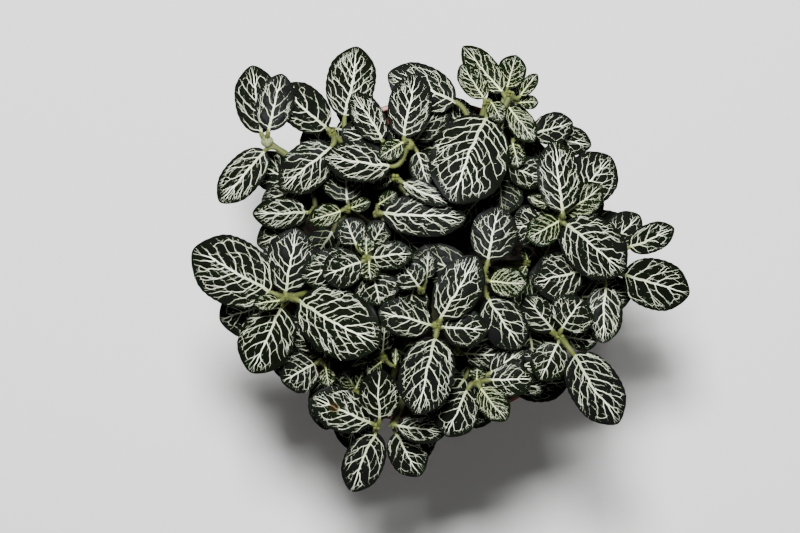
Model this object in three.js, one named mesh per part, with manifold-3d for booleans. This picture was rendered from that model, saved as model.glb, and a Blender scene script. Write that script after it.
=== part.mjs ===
// Potted nerve plant: a plastic nursery pot filled with soil, and leafy shoots whose blades lie
// over each other in a low dome wider than the pot.
// Millimetres, +Z up. The origin is the middle of the pot's flat base.

import * as THREE from 'three';
import { mergeVertices } from 'three/addons/utils/BufferGeometryUtils.js';
import Module from 'manifold-3d';

const wasm = await Module();
wasm.setup();

// Pot: a 12 cm nursery pot
const POT_HEIGHT = 105;
const POT_RIM_RADIUS = 59;
const POT_BASE_RADIUS = 42;
const POT_WALL = 1.8;
const POT_FLOOR = 3;
const BAND_HEIGHT = 11;
const BAND_STEP = 2.9;
const BAND_DRAFT = 1.4;
const EDGE = 0.9;
const POT_SEGMENTS = 32;
const DRAIN_COUNT = 6;
const DRAIN_RADIUS = 3.5;
const DRAIN_CIRCLE = 25;
const DRAIN_SIDES = 8;

// Clearance between pieces that touch in the real thing
const GAP = 0.3;
const WALL_GAP = 0.33;

// Soil
const SOIL_EDGE_HEIGHT = 91;
const SOIL_CROWN = 4.5;
const SOIL_BEVEL = 1;
const SOIL_RINGS = [0.96, 0.7, 0.35, 0];

// Crown: the dome that the uppermost blades follow, and the eye that their places are given for
const CROWN_X = 3;
const CROWN_Y = -2;
const CROWN_TOP = 150;
const CROWN_FALL = 50;
const CROWN_REACH = 85;
const EYE_X = -10.9;
const EYE_Y = -1.6;
const EYE_Z = 945;
const SIGHT_HEIGHT = 145;

// Blades
const BLADE_THICK = 0.7;
const BLADE_WIDEST = 0.51;
const BASE_FULLNESS = 2.3;
const TIP_FULLNESS = 2.15;
const OUTLINE_ROUNDNESS = 0.52;
const BLADE_ARCH = 0.05;
const BLADE_CURL = 0.055;
const DOME_FOLLOW = 0.6;
const YOUNG_CURL = -0.1;
const BLADE_WAVE = 0.028;
const WAVES = 3;
const STALK_HALF = 0.75;
const STALK_THICK = 1.5;
const STALK_END_THICK = 1.1;
const ROOT_DROP = 1;
const LONG_BLADE = 17;
const SHORT_BLADE = 9;
const FIRST_ROW = 0.12;
const LAST_ROW = 0.88;
const PHASE_STEP = 2.4;

// Settling: the clearance over what lies below, where blades of one shoot may meet, the places on
// a blade that are looked at, and what a tilt costs beside the lift
const CLEAR = 2.6;
const ROOT_ZONE = 7;
const CHECK_ROWS = 10;
const CHECK_SIDES = 3;
const CHECK_MARGIN = 0.8;
const SETTLE_TURNS = [0, 0.1, -0.1, 0.2, -0.2, 0.3, -0.3];
const SETTLE_ROLLS = [0, 0.16, -0.16];
const TURN_COST = 9;
const ROLL_COST = 7;
const LEAST_GAIN = 1e-6;

// Stems
const STEM_RADIUS = 1.25;
const STEM_SIDES = 5;
const STEM_STEPS = 5;
const LOW_STEM_STEPS = 2;
const STEM_SUNK = 8;
const FOOT_LIMIT = 46;
const NODE_RADIUS = 1.9;
const NODE_REACH = 9;
const NODE_DROP = 2.2;
const BUD_HEIGHT = 4;

// A stem that ends beyond the rim leans: how far out that starts, and how it bends its line
const LEAN_START = 42;
const LEAN_RANGE = 20;
const LEAN_BACK = 0.4;
const LOW_POINT = 0.5;
const LOW_POINT_LEAN = 0.35;
const HIGH_POINT = 0.62;
const HIGH_POINT_LEAN = 0.46;

// The ways up that a stem tries
const STEM_CHECKS = 26;
const STEM_CLEAR = 2.5;
const STEM_MARGIN = 2.5;
const STEM_SPACING = 3.6;
const STEM_REACHES = [0.55, 0.45, 0.65, 0.35, 0.75];
const STEM_TURNS = [0, 0.2, -0.2, 0.4, -0.4];
const BEND_SIZES = [5, 10, 16];
const BEND_WAYS = 8;
const STEM_BENDS = [[0, 0]];
for (const size of BEND_SIZES) {
  for (let i = 0; i < BEND_WAYS; i += 1) {
    const angle = (2 * Math.PI * i) / BEND_WAYS;
    STEM_BENDS.push([size * Math.cos(angle), size * Math.sin(angle)]);
  }
}

// Over the pot's rim and over the soil nothing lies lower than this
const RIM_ZONE_START = 51;
const RIM_ZONE_END = 62;
const LEAST_ABOVE_RIM = 107.6;
const LEAST_ABOVE_SOIL = 99;

const crownHeight = (x, y) =>
  CROWN_TOP - (CROWN_FALL * ((x - CROWN_X) ** 2 + (y - CROWN_Y) ** 2)) / CROWN_REACH ** 2;

const soilHeight = (r) => SOIL_EDGE_HEIGHT + SOIL_CROWN * Math.max(0, 1 - (r / POT_RIM_RADIUS) ** 2);

// A place seen at the height of the crown, carried along the line of sight to its own height
const sightScale = (z) => (EYE_Z - z) / (EYE_Z - SIGHT_HEIGHT);
const alongSight = (x, y, z) => [
  EYE_X + (x - EYE_X) * sightScale(z),
  EYE_Y + (y - EYE_Y) * sightScale(z),
];

// Half the width of a blade at t from its base (0) to its tip (1), as a share of the greatest
function outline(t) {
  const towardBase = t < BLADE_WIDEST;
  const away = towardBase ? (BLADE_WIDEST - t) / BLADE_WIDEST : (t - BLADE_WIDEST) / (1 - BLADE_WIDEST);
  const fullness = towardBase ? BASE_FULLNESS : TIP_FULLNESS;
  return Math.max(0, 1 - Math.min(1, away) ** fullness) ** OUTLINE_ROUNDNESS;
}

class Leaf {
  // Base and tip as seen at the crown's height, width, and how deep it lies under the dome
  constructor(number, [baseX, baseY, tipX, tipY, width, depth, young = 0]) {
    const baseZ = crownHeight(baseX, baseY) - depth;
    const tipZ = crownHeight(tipX, tipY) - depth;
    const [bx, by] = alongSight(baseX, baseY, baseZ);
    const [tx, ty] = alongSight(tipX, tipY, tipZ);
    this.shape(number, bx, by, Math.atan2(ty - by, tx - bx), Math.hypot(tx - bx, ty - by),
      width * sightScale((baseZ + tipZ) / 2), young);
    this.depth = depth;
    this.restSlope = (DOME_FOLLOW * (tipZ - baseZ)) / this.length;
    this.z = baseZ;
    this.tilt(this.restSlope, 0);
  }

  shape(number, x, y, angle, length, width, young) {
    this.number = number;
    this.x = x;
    this.y = y;
    this.ax = Math.cos(angle);
    this.ay = Math.sin(angle);
    this.length = length;
    this.half = width / 2;
    this.arch = BLADE_ARCH * length;
    this.curl = (young ? YOUNG_CURL : BLADE_CURL) * width;
    this.phase = number * PHASE_STEP;
    this.points = [];
    for (let row = 0; row <= CHECK_ROWS; row += 1) {
      for (let side = -CHECK_SIDES; side <= CHECK_SIDES; side += 1) {
        this.points.push(this.plan(row / CHECK_ROWS, side / CHECK_SIDES));
      }
    }
  }

  tilt(slope, roll) {
    this.slope = slope;
    this.roll = roll;
  }

  plan(t, s) {
    const u = t * this.length;
    const v = s * this.half * outline(t);
    return [this.x + u * this.ax - v * this.ay, this.y + u * this.ay + v * this.ax];
  }

  local(x, y) {
    const dx = x - this.x;
    const dy = y - this.y;
    return [dx * this.ax + dy * this.ay, dy * this.ax - dx * this.ay];
  }

  height(x, y) {
    const [u, v] = this.local(x, y);
    const t = Math.min(1, Math.max(0, u / this.length));
    const bow = this.arch * 4 * t * (1 - t) - this.curl * (v / this.half) ** 2;
    return this.z + this.slope * u + this.roll * v + bow;
  }

  covers(x, y, margin) {
    const [u, v] = this.local(x, y);
    if (u < -margin || u > this.length + margin) {
      return false;
    }
    const t = Math.min(1, Math.max(0, u / this.length));
    return Math.abs(v) <= this.half * outline(t) + margin;
  }

  // How far the other blade lies above this one, at each place that both cover
  rises(other, free) {
    const shared = [
      ...this.points.filter(([x, y]) => !free(x, y) && other.covers(x, y, CHECK_MARGIN)),
      ...other.points.filter(([x, y]) => !free(x, y) && this.covers(x, y, CHECK_MARGIN)),
    ];
    return shared.map(([x, y]) => other.height(x, y) - this.height(x, y));
  }

  // How far this blade must rise to lie clear over the other one
  liftOver(other, free) {
    return Math.max(0, ...this.rises(other, free).map((rise) => rise + CLEAR));
  }

  // The least distance up or down between this blade and the other where one lies over the other
  apart(other, free) {
    return Math.min(...this.rises(other, free).map(Math.abs));
  }

  near(other) {
    const reach = this.length + this.half + other.length + other.half;
    return Math.hypot(this.x - other.x, this.y - other.y) < reach;
  }
}

// Every shoot: the place of its top node and its blades. A blade is base x, base y, tip x, tip y,
// width, depth under the dome, and 1 where it is young.
const SHOOTS = [
  { x: -57, y: 42, blades: [
    [-58.5, 44, -61, 66.5, 15, -4], [-56, 45, -51, 64, 13, -6], [-57.5, 38.5, -73, 20.5, 13, -5],
  ] },
  { x: -34.5, y: 44.5, blades: [
    [-36, 46, -52, 60, 15, 0], [-34.5, 40, -52, 25, 16, 1], [-30, 50, -25.5, 73.7, 17, 4],
    [-33, 46, -22, 44, 10, 12],
  ] },
  { x: -8.5, y: 41, blades: [
    [-9.5, 43, -5.5, 64.5, 15, -4], [-10, 41, -18, 36, 7.5, -5, 1], [-6, 42, 5, 56, 12, 9],
    [-5, 38, -1, 26.5, 9, 5], [-17, 42, -27, 58, 11, 0], [-14, 33, -37, 36, 14, -1],
  ] },
  { x: 19, y: 55, blades: [
    [19, 50, 7, 20.5, 27, -8], [18, 56.5, 10, 67.8, 9, -10, 1], [20.5, 55, 24.5, 48.5, 7, -11, 1],
    [8, 55, -15, 64, 16, 5],
  ] },
  { x: 27, y: 57.5, blades: [
    [24.5, 58.5, 10.7, 74, 10, -7, 1], [26, 60, 29, 71, 10, -6, 1], [30, 56.5, 35.7, 63.8, 5, -6, 1],
    [30, 54.5, 36.5, 54.5, 5, -5, 1], [26.5, 53.5, 35.5, 41.5, 9, -4, 1],
  ] },
  { x: 32, y: 43, blades: [
    [35, 44, 48.5, 48, 11, 2], [28, 41, 30, 32.5, 7, 3, 1], [30, 44, 28.5, 49, 4, 1, 1],
    [40, 44, 55, 40, 10, 9],
  ] },
  { x: 22.5, y: 31, blades: [
    [23.5, 29, 25, 16, 15, 16], [26, 33, 39, 28, 11, 16],
  ] },
  { x: 18, y: -5, blades: [
    [19.5, 0.5, 23.5, 19, 16, 0], [20, -6.6, 33, -7.5, 10.5, -1, 1], [19.5, -12.5, 30.5, -30, 15, 1],
  ] },
  { x: -19, y: 16.5, blades: [
    [-17, 16.8, 12, 15, 14.5, 4], [-18, 20, -12, 24, 5, 9, 1],
  ] },
  { x: -12.5, y: 29, blades: [
    [-10, 27.5, 6, 20, 7, 0], [-14, 30, -22, 27, 7, 10],
  ] },
  { x: -29, y: 18, blades: [
    [-28, 18.5, -21, 21, 5, 6, 1], [-31, 17.5, -42, 14, 8, 7, 1], [-29, 21, -31, 36, 16, 14],
  ] },
  { x: -41, y: 18, blades: [
    [-43, 17, -61.5, 16.5, 11, 8], [-44, 26, -58.5, 20.5, 9, 13], [-46, 12, -60, 6, 12, 16],
  ] },
  { x: -22.5, y: 1.5, blades: [
    [-22.5, 3, -22.5, 9, 6.5, -6, 1], [-20.5, 1.5, -6.5, 3, 10, -4], [-24, 0, -37.5, -5, 13, -3],
    [-21.5, 0, -21, -6.5, 7, -6, 1], [-26, 6, -29.5, 15, 11, 8], [-21, 6, -16, 14, 9, 9],
    [-20, -4, -18, -15, 15, 1],
  ] },
  { x: -50.5, y: -12.5, blades: [
    [-55, -10.5, -81, 4, 23, -2], [-50.5, -10.4, -46.8, 11.7, 17, -1], [-45.4, -13.5, -17.8, -28.7, 23, -1],
    [-51.5, -15.5, -62, -38, 19, -3], [-56, -14.5, -72.7, -20, 17, 6], [-52.5, -13.3, -61, -14.5, 6, -5, 1],
    [-53, -8, -57, 3.5, 8, 8],
  ] },
  { x: 45, y: 15.5, blades: [
    [45, 17, 42, 41.5, 15, -5], [46, 16.5, 58.5, 26, 11, -3, 1], [46, 13, 66, -3.5, 20, -4],
    [44, 14, 33, 8, 11, -4, 1], [42, 13, 27.5, 12, 15, 2], [43, 19, 33, 22.5, 5, -3, 1],
    [48.5, 21.5, 61.5, 36, 18, 5],
  ] },
  { x: 64, y: -0.5, blades: [
    [66, -4.5, 88, -11, 17.5, 4], [68, 5, 83, 11.5, 10, 4], [61, 6, 71.5, 16, 12, 10],
  ] },
  { x: 57.5, y: -4, blades: [
    [52, -2.8, 35, -7.3, 17, 3], [60, -8, 58.5, -28, 13, 4],
  ] },
  { x: 44.5, y: -26, blades: [
    [44.8, -23, 52, -12.5, 16, -1], [42, -23.5, 32, -12, 12, 5], [43.8, -28, 37.4, -41, 13, -2],
    [48.4, -31.5, 63, -54.8, 17.5, -3], [47, -26, 57, -27.5, 8, 8],
  ] },
  { x: 9, y: -31, blades: [
    [11, -31.8, 28, -32.5, 9.5, 8],
  ] },
  { x: 15.8, y: -41.8, blades: [
    [20, -40.5, 34.5, -40, 12, 2], [16.5, -43, 25.5, -54, 10, -1, 1], [12.5, -44, 5, -60, 15, 0],
    [15.6, -40.5, 15.8, -36.5, 6, -1, 1], [20, -38, 31.5, -30, 9, 8], [27, -43, 40, -42.5, 8, 9],
  ] },
  { x: 1.9, y: -22, blades: [
    [3.4, -19.4, 15.5, 2, 16, -5], [0, -21.8, -18.5, -16.8, 13, -5], [4, -22.6, 19.5, -23.5, 13, -4],
    [1.4, -26, -5, -52.5, 19, -7],
  ] },
  { x: -18.8, y: -57, blades: [
    [-18, -54.5, -18, -37, 14, 0], [-21, -55.5, -41, -46, 15, 2], [-19.2, -58.8, -27.5, -78.5, 14, 3],
  ] },
  { x: -13.5, y: -56.5, blades: [
    [-12, -56.5, 5, -59, 10, 4], [-12.5, -59, -4, -73.5, 13, 9],
  ] },
  { x: -38, y: -34, blades: [
    [-40, -35, -51.5, -41, 14.5, 7], [-36.4, -36.5, -35.2, -43, 6, 8, 1], [-42, -33, -54.5, -37, 12, 13],
    [-41, -30, -48.5, -22, 9, 10],
  ] },
  { x: -26, y: -45, blades: [
    [-26.5, -43.5, -31, -37, 7, 9, 1], [-26, -43.5, -23.5, -37.5, 5, 9, 1],
  ] },
  { x: -16.5, y: -33.5, blades: [
    [-17, -31, -16, -21.5, 9, 10], [-19, -33.5, -28, -36, 5, 9, 1], [-12.5, -35, -12.3, -29.5, 3, 4, 1],
    [-17.5, -34.5, -22.5, -38.5, 6, 8, 1],
  ] },
  { x: -3.5, y: -10, blades: [
    [-4.5, -8.5, -10.5, 0, 12, 5], [-6, -9, -7.5, -18, 12, 11], [-2, -6, -1, 4, 7, 8],
  ] },
  { x: 33, y: -0.5, blades: [
    [32.5, -1.5, 30, -5.5, 4, 15, 1], [33, 1, 32, 5, 4, 15, 1],
  ] },
];

// Lower pairs under the crown, and low shoots round the rim
const LOWER_DROPS = [12, 22];
const LOWER_STALK = 4;
const LOWER_RISE = 2;
const LOWER_SIDE = 0.9;
const LOWER_FAN = 7;
const FAN_STEP = 0.35;
const LOWER_CLEAR = 3;
const LOWER_LEAST_RADIUS = 33;
const LOWER_SIZES = [[21, 14.5], [16, 11.5]];
const LOWER_SLOPES = [-0.1, -0.35, 0.15, -0.6];
const INNER_DROPS = [11, 17, 24];
const INNER_REACH = 46;
const INNER_FAN = 18;
const IN_THE_GAPS = [0.25, 0.85];
const INNER_LEAVES = 14;
const RIM_PLACES = 24;
const RIM_FOOT = 43;
const RIM_NODES = [[50, 109], [50, 113], [46, 110], [52, 117]];
const RIM_SHOOTS = 14;
const RIM_LEAVES = 3;
const RIM_FAN = 11;
const OUT_OF_SIGHT = [0.7, 1];
const LEAST_FAN = 0.8;

// Lay the blades from the deepest to the topmost, each clear over those that are down already.
// Of a few tilts each blade takes the one that needs the least lift.
function settle(leaves) {
  const placed = [];
  const order = [...leaves].sort((a, b) => b.depth - a.depth);
  for (const leaf of order) {
    const under = placed.filter((other) => leaf.near(other));
    let best = null;
    for (const roll of SETTLE_ROLLS) {
      for (const turn of SETTLE_TURNS) {
        leaf.tilt(leaf.restSlope + turn, roll);
        const lift = Math.max(0, ...under.map((other) => leaf.liftOver(other, freeZone(leaf, other))));
        const cost = lift + TURN_COST * Math.abs(turn) + ROLL_COST * Math.abs(roll);
        if (best === null || cost < best.cost - LEAST_GAIN) {
          best = { cost, lift, turn, roll };
        }
      }
    }
    leaf.tilt(leaf.restSlope + best.turn, best.roll);
    leaf.z += best.lift;
    placed.push(leaf);
  }
}

// Two blades of one shoot may touch near its node, where both grow from it
function freeZone(leaf, other) {
  if (leaf.shoot !== other.shoot) {
    return () => false;
  }
  return (x, y) => Math.hypot(x - leaf.shoot.px, y - leaf.shoot.py) < ROOT_ZONE;
}

// A stem's line: straight up out of the soil, leaning out under the crown, up into its node
function stemCurve(shoot, reach, turn, [bendX, bendY], extra) {
  const radius = Math.hypot(shoot.px, shoot.py) * reach;
  const angle = Math.atan2(shoot.py, shoot.px) + turn;
  const footX = radius * Math.cos(angle);
  const footY = radius * Math.sin(angle);
  const foot = soilHeight(radius) - STEM_SUNK - extra;
  const rise = shoot.pz - foot;
  const lean = Math.min(1, Math.max(0, (Math.hypot(shoot.px, shoot.py) - LEAN_START) / LEAN_RANGE));
  const back = LEAN_BACK * lean;
  return new THREE.CubicBezierCurve3(
    new THREE.Vector3(footX, footY, foot),
    new THREE.Vector3(
      footX + bendX / 2,
      footY + bendY / 2,
      foot + rise * (LOW_POINT + LOW_POINT_LEAN * lean),
    ),
    new THREE.Vector3(
      shoot.px + (footX - shoot.px) * back + bendX,
      shoot.py + (footY - shoot.py) * back + bendY,
      foot + rise * (HIGH_POINT + HIGH_POINT_LEAN * lean),
    ),
    new THREE.Vector3(shoot.px, shoot.py, shoot.pz),
  );
}

function stemPoints(curve) {
  const points = [];
  for (let i = 0; i <= STEM_CHECKS; i += 1) {
    points.push(curve.getPoint(i / STEM_CHECKS));
  }
  return points;
}

const overRim = (r) => r > RIM_ZONE_START && r < RIM_ZONE_END;

// Whether a blade comes too near a place on a stem
const nearBlade = (leaf, { x, y, z }) =>
  leaf.covers(x, y, STEM_MARGIN) && Math.abs(leaf.height(x, y) - z) < STEM_CLEAR;

// How many places of a stem's line come too near the rim, a blade of another shoot or a stem
function stemClashes(shoot, points, leaves, stems) {
  let clashes = 0;
  for (const point of points) {
    clashes += overRim(Math.hypot(point.x, point.y)) && point.z < LEAST_ABOVE_RIM ? 1 : 0;
    clashes += leaves.filter((leaf) => leaf.shoot !== shoot && nearBlade(leaf, point)).length;
    clashes += stems.flat().filter((other) => point.distanceTo(other) < STEM_SPACING).length;
  }
  return clashes;
}

// Each stem takes the first free way up from the soil, or the one with the fewest clashes
function routeStem(shoot, leaves, stems) {
  let best = null;
  for (const bend of STEM_BENDS) {
    for (const reach of STEM_REACHES) {
      for (const turn of STEM_TURNS) {
        const radius = Math.hypot(shoot.px, shoot.py) * reach;
        if (best !== null && (best.clashes === 0 || radius > FOOT_LIMIT)) {
          continue;
        }
        const points = stemPoints(stemCurve(shoot, reach, turn, bend, 0));
        const clashes = stemClashes(shoot, points, leaves, stems);
        if (best === null || clashes < best.clashes) {
          best = { clashes, reach, turn, bend, points };
        }
      }
    }
  }
  shoot.way = best;
  stems.push(best.points);
}

// The place on a stem at the given height, or its node where that is lower
function stemAt(shoot, z) {
  let best = shoot.way.points[0];
  for (const point of shoot.way.points) {
    if (point.z <= z) {
      best = point;
    }
  }
  return best;
}

function makeShoots() {
  const shoots = [];
  let number = 0;
  for (const { x, y, blades } of SHOOTS) {
    const shoot = { leaves: [], low: false };
    for (const row of blades) {
      const leaf = new Leaf(number, row);
      leaf.shoot = shoot;
      shoot.leaves.push(leaf);
      number += 1;
    }
    const least = Math.min(...shoot.leaves.map((leaf) => leaf.depth));
    [shoot.px, shoot.py] = alongSight(x, y, crownHeight(x, y) - least);
    shoots.push(shoot);
  }
  return shoots;
}

// The top node lies a little under the bases of the blades that are near it in height
function setNodeHeight(shoot) {
  const top = Math.max(...shoot.leaves.map((leaf) => leaf.z));
  const upper = shoot.leaves.filter((leaf) => leaf.z > top - NODE_REACH);
  const sum = upper.reduce((total, leaf) => total + leaf.z, 0);
  shoot.pz = sum / upper.length - NODE_DROP;
}

function isClear(leaf, leaves, shoots) {
  for (const [x, y] of leaf.points) {
    const r = Math.hypot(x, y);
    const least = overRim(r) ? LEAST_ABOVE_RIM : LEAST_ABOVE_SOIL;
    if (r < RIM_ZONE_END && leaf.height(x, y) < least) {
      return false;
    }
  }
  for (const other of leaves) {
    if (leaf.near(other) && leaf.apart(other, freeZone(leaf, other)) < LOWER_CLEAR) {
      return false;
    }
  }
  const foreign = shoots.filter((shoot) => shoot !== leaf.shoot);
  return !foreign.some((shoot) => shoot.way.points.some((point) => nearBlade(leaf, point)));
}

// The share of a blade that lies under another one, seen from above
function hiddenShare(leaf, crown) {
  const hidden = leaf.points.filter(([x, y]) => {
    const z = leaf.height(x, y);
    return crown.some((other) => other.covers(x, y, 0) && other.height(x, y) > z);
  });
  return hidden.length / leaf.points.length;
}

function tryLeaf(shoot, root, angle, slope, length, width, number) {
  const leaf = Object.create(Leaf.prototype);
  const x = root.x + LOWER_STALK * Math.cos(angle);
  const y = root.y + LOWER_STALK * Math.sin(angle);
  leaf.shape(number, x, y, angle, length, width, 0);
  leaf.shoot = shoot;
  leaf.low = true;
  leaf.z = root.z + LOWER_RISE;
  leaf.tilt(slope, 0);
  return leaf;
}

// Grow a blade from a place on a stem in the first direction that is free and out of sight
function growLower(shoot, root, angles, crown, leaves, shoots, [leastHidden, mostHidden] = OUT_OF_SIGHT) {
  for (const [length, width] of LOWER_SIZES) {
    for (const angle of angles) {
      for (const slope of LOWER_SLOPES) {
        const leaf = tryLeaf(shoot, root, angle, slope, length, width, leaves.length);
        const hidden = hiddenShare(leaf, crown);
        if (hidden >= leastHidden && hidden <= mostHidden && isClear(leaf, leaves, shoots)) {
          shoot.leaves.push(leaf);
          leaves.push(leaf);
          return angle;
        }
      }
    }
  }
  return null;
}

// Directions that fan out to both sides of the first one
function anglesFrom(start, count) {
  const angles = [];
  for (let i = 0; i < count; i += 1) {
    angles.push(start + FAN_STEP * (i % 2 ? (i + 1) / 2 : -i / 2));
  }
  return angles;
}

// Lower pairs on the outer shoots, under the crown
function growLowerPairs(shoots, crown, leaves) {
  for (const drop of LOWER_DROPS) {
    for (const shoot of shoots.filter((one) => !one.low)) {
      const outward = Math.atan2(shoot.py, shoot.px);
      for (const side of [-1, 1]) {
        const root = stemAt(shoot, shoot.pz - drop);
        if (root.z > LEAST_ABOVE_SOIL && Math.hypot(root.x, root.y) > LOWER_LEAST_RADIUS) {
          const angles = anglesFrom(outward + side * LOWER_SIDE, LOWER_FAN);
          growLower(shoot, root, angles, crown, leaves, shoots);
        }
      }
    }
  }
}

// Single lower blades in the crown's middle, where gaps would show the soil
function growInner(shoots, crown, leaves) {
  let grown = 0;
  for (const drop of INNER_DROPS) {
    for (const shoot of shoots.filter((one) => !one.low)) {
      const root = stemAt(shoot, shoot.pz - drop);
      const inner = Math.hypot(root.x, root.y) < INNER_REACH && root.z > LEAST_ABOVE_SOIL;
      if (inner && grown < INNER_LEAVES) {
        const inward = Math.atan2(-shoot.py, -shoot.px);
        const angles = anglesFrom(inward, INNER_FAN);
        const angle = growLower(shoot, root, angles, crown, leaves, shoots, IN_THE_GAPS);
        grown += angle === null ? 0 : 1;
      }
    }
  }
}

function rimShoot(angle, radius, height) {
  const shoot = { leaves: [], low: true, px: radius * Math.cos(angle), py: radius * Math.sin(angle) };
  shoot.pz = height;
  shoot.way = { reach: RIM_FOOT / radius, turn: 0, bend: [0, 0] };
  shoot.way.points = stemPoints(stemCurve(shoot, shoot.way.reach, 0, [0, 0], 0));
  return shoot;
}

// Short shoots just inside the rim, wherever their stems and blades find room
function growRimShoots(shoots, crown, leaves, stems) {
  let grown = 0;
  for (let i = 0; i < RIM_PLACES; i += 1) {
    const place = (i * 2 * Math.PI) / RIM_PLACES;
    for (const [radius, height] of RIM_NODES) {
      const shoot = rimShoot(place, radius, height);
      const free = stemClashes(shoot, shoot.way.points, leaves, stems) === 0;
      if (grown === RIM_SHOOTS || !free) {
        continue;
      }
      const taken = [];
      const root = stemAt(shoot, height);
      for (let k = 0; k < RIM_LEAVES; k += 1) {
        const angles = anglesFrom(place, RIM_FAN);
        const open = angles.filter((angle) => taken.every((other) => Math.abs(other - angle) > LEAST_FAN));
        const angle = growLower(shoot, root, open, crown, leaves, [...shoots, shoot]);
        if (angle !== null) {
          taken.push(angle);
        }
      }
      if (shoot.leaves.length > 0) {
        shoots.push(shoot);
        stems.push(shoot.way.points);
        grown += 1;
        break;
      }
    }
  }
}

function growPlant() {
  const shoots = makeShoots();
  const leaves = shoots.flatMap((shoot) => shoot.leaves);
  settle(leaves);
  shoots.forEach(setNodeHeight);
  const stems = [];
  shoots.forEach((shoot) => routeStem(shoot, leaves, stems));
  const crown = [...leaves];
  growInner(shoots, crown, leaves);
  growRimShoots(shoots, crown, leaves, stems);
  growLowerPairs(shoots, crown, leaves);
  return shoots;
}

// A closed solid from a list of vertices and a list of triangles
function solidFrom(vertices, triangles) {
  return new wasm.Manifold(new wasm.Mesh({
    numProp: 3,
    vertProperties: new Float32Array(vertices.flat()),
    triVerts: new Uint32Array(triangles.flat()),
  }));
}

// A closed solid from one of three.js's own geometries
function solidOf(geometry) {
  const bare = geometry.index === null ? geometry.clone() : geometry.toNonIndexed();
  bare.deleteAttribute('normal');
  bare.deleteAttribute('uv');
  const merged = mergeVertices(bare, 1e-4);
  return new wasm.Manifold(new wasm.Mesh({
    numProp: 3,
    vertProperties: new Float32Array(merged.attributes.position.array),
    triVerts: new Uint32Array(merged.index.array),
  }));
}

function meshOf(name, solid, material) {
  const { vertProperties, triVerts } = solid.getMesh();
  const geometry = new THREE.BufferGeometry();
  geometry.setAttribute('position', new THREE.BufferAttribute(new Float32Array(vertProperties), 3));
  geometry.setIndex(new THREE.BufferAttribute(new Uint32Array(triVerts), 1));
  geometry.computeVertexNormals();
  const mesh = new THREE.Mesh(geometry, material);
  mesh.name = name;
  return mesh;
}

// The blade's own rows, each with its left edge, midrib and right edge
function bladeRows(leaf) {
  const count = leaf.length > LONG_BLADE && !leaf.low ? 4 : leaf.length > SHORT_BLADE ? 3 : 2;
  const rows = [];
  for (let i = 0; i < count; i += 1) {
    const t = FIRST_ROW + ((LAST_ROW - FIRST_ROW) * i) / (count - 1);
    rows.push([-1, 0, 1].map((s) => {
      const [x, y] = leaf.plan(t, s);
      const turn = 2 * Math.PI * WAVES * t + leaf.phase + s;
      return [x, y, leaf.height(x, y) + BLADE_WAVE * leaf.half * Math.abs(s) * Math.sin(turn)];
    }));
  }
  return rows;
}

// The two ends of the leaf stalk: one sunk in the stem, one at the blade's base
function stalkRows(leaf, root) {
  const run = Math.hypot(leaf.x - root.x, leaf.y - root.y);
  const sideX = (root.y - leaf.y) / run;
  const sideY = (leaf.x - root.x) / run;
  const lift = STALK_THICK / 2;
  return [
    [-1, 1].map((s) => [root.x + s * STALK_HALF * sideX, root.y + s * STALK_HALF * sideY, root.z + lift]),
    [-1, 1].map((s) => [leaf.x - s * STALK_HALF * leaf.ay, leaf.y + s * STALK_HALF * leaf.ax, leaf.z]),
  ];
}

// A stalk and its blade as one closed solid, split alike on its upper and under side
function bladeSolid(leaf, root) {
  const vertices = [];
  const triangles = [];
  const addRow = (points, thick) => {
    const top = points.map((point, i) => vertices.length + i);
    vertices.push(...points, ...points.map(([x, y, z]) => [x, y, z - thick]));
    return { top, under: top.map((i) => i + points.length) };
  };
  const quad = (a, b, c, d) => triangles.push([a, b, c], [a, c, d]);
  const rows = stalkRows(leaf, root).map((points, i) => addRow(points, i ? STALK_END_THICK : STALK_THICK));
  rows.push(...bladeRows(leaf).map((points) => addRow(points, BLADE_THICK)));
  const [tipX, tipY] = leaf.plan(1, 0);
  const tip = addRow([[tipX, tipY, leaf.height(tipX, tipY)]], BLADE_THICK);
  quad(rows[0].top[0], rows[0].top[1], rows[0].under[1], rows[0].under[0]);
  for (let i = 0; i < rows.length - 1; i += 1) {
    const here = rows[i];
    const next = rows[i + 1];
    if (here.top.length === next.top.length) {
      for (let k = 0; k < here.top.length - 1; k += 1) {
        quad(here.top[k + 1], here.top[k], next.top[k], next.top[k + 1]);
        quad(here.under[k], here.under[k + 1], next.under[k + 1], next.under[k]);
      }
    } else {
      const [left, right] = here.top;
      triangles.push([right, left, next.top[1]], [left, next.top[0], next.top[1]]);
      triangles.push([right, next.top[1], next.top[2]]);
      const [underLeft, underRight] = here.under;
      triangles.push([underLeft, underRight, next.under[1]], [underLeft, next.under[1], next.under[0]]);
      triangles.push([underRight, next.under[2], next.under[1]]);
    }
    quad(here.top[0], here.under[0], next.under[0], next.top[0]);
    quad(here.under.at(-1), here.top.at(-1), next.top.at(-1), next.under.at(-1));
  }
  const last = rows.at(-1);
  for (let k = 0; k < 2; k += 1) {
    triangles.push([last.top[k + 1], last.top[k], tip.top[0]]);
    triangles.push([last.under[k], last.under[k + 1], tip.under[0]]);
  }
  quad(last.top[0], last.under[0], tip.under[0], tip.top[0]);
  quad(last.under[2], last.top[2], tip.top[0], tip.under[0]);
  return solidFrom(vertices, triangles);
}

function ring(radius, sides) {
  const points = [];
  for (let i = 0; i < sides; i += 1) {
    const angle = (2 * Math.PI * i) / sides;
    points.push(new THREE.Vector2(radius * Math.cos(angle), radius * Math.sin(angle)));
  }
  return new THREE.Shape(points);
}

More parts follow.
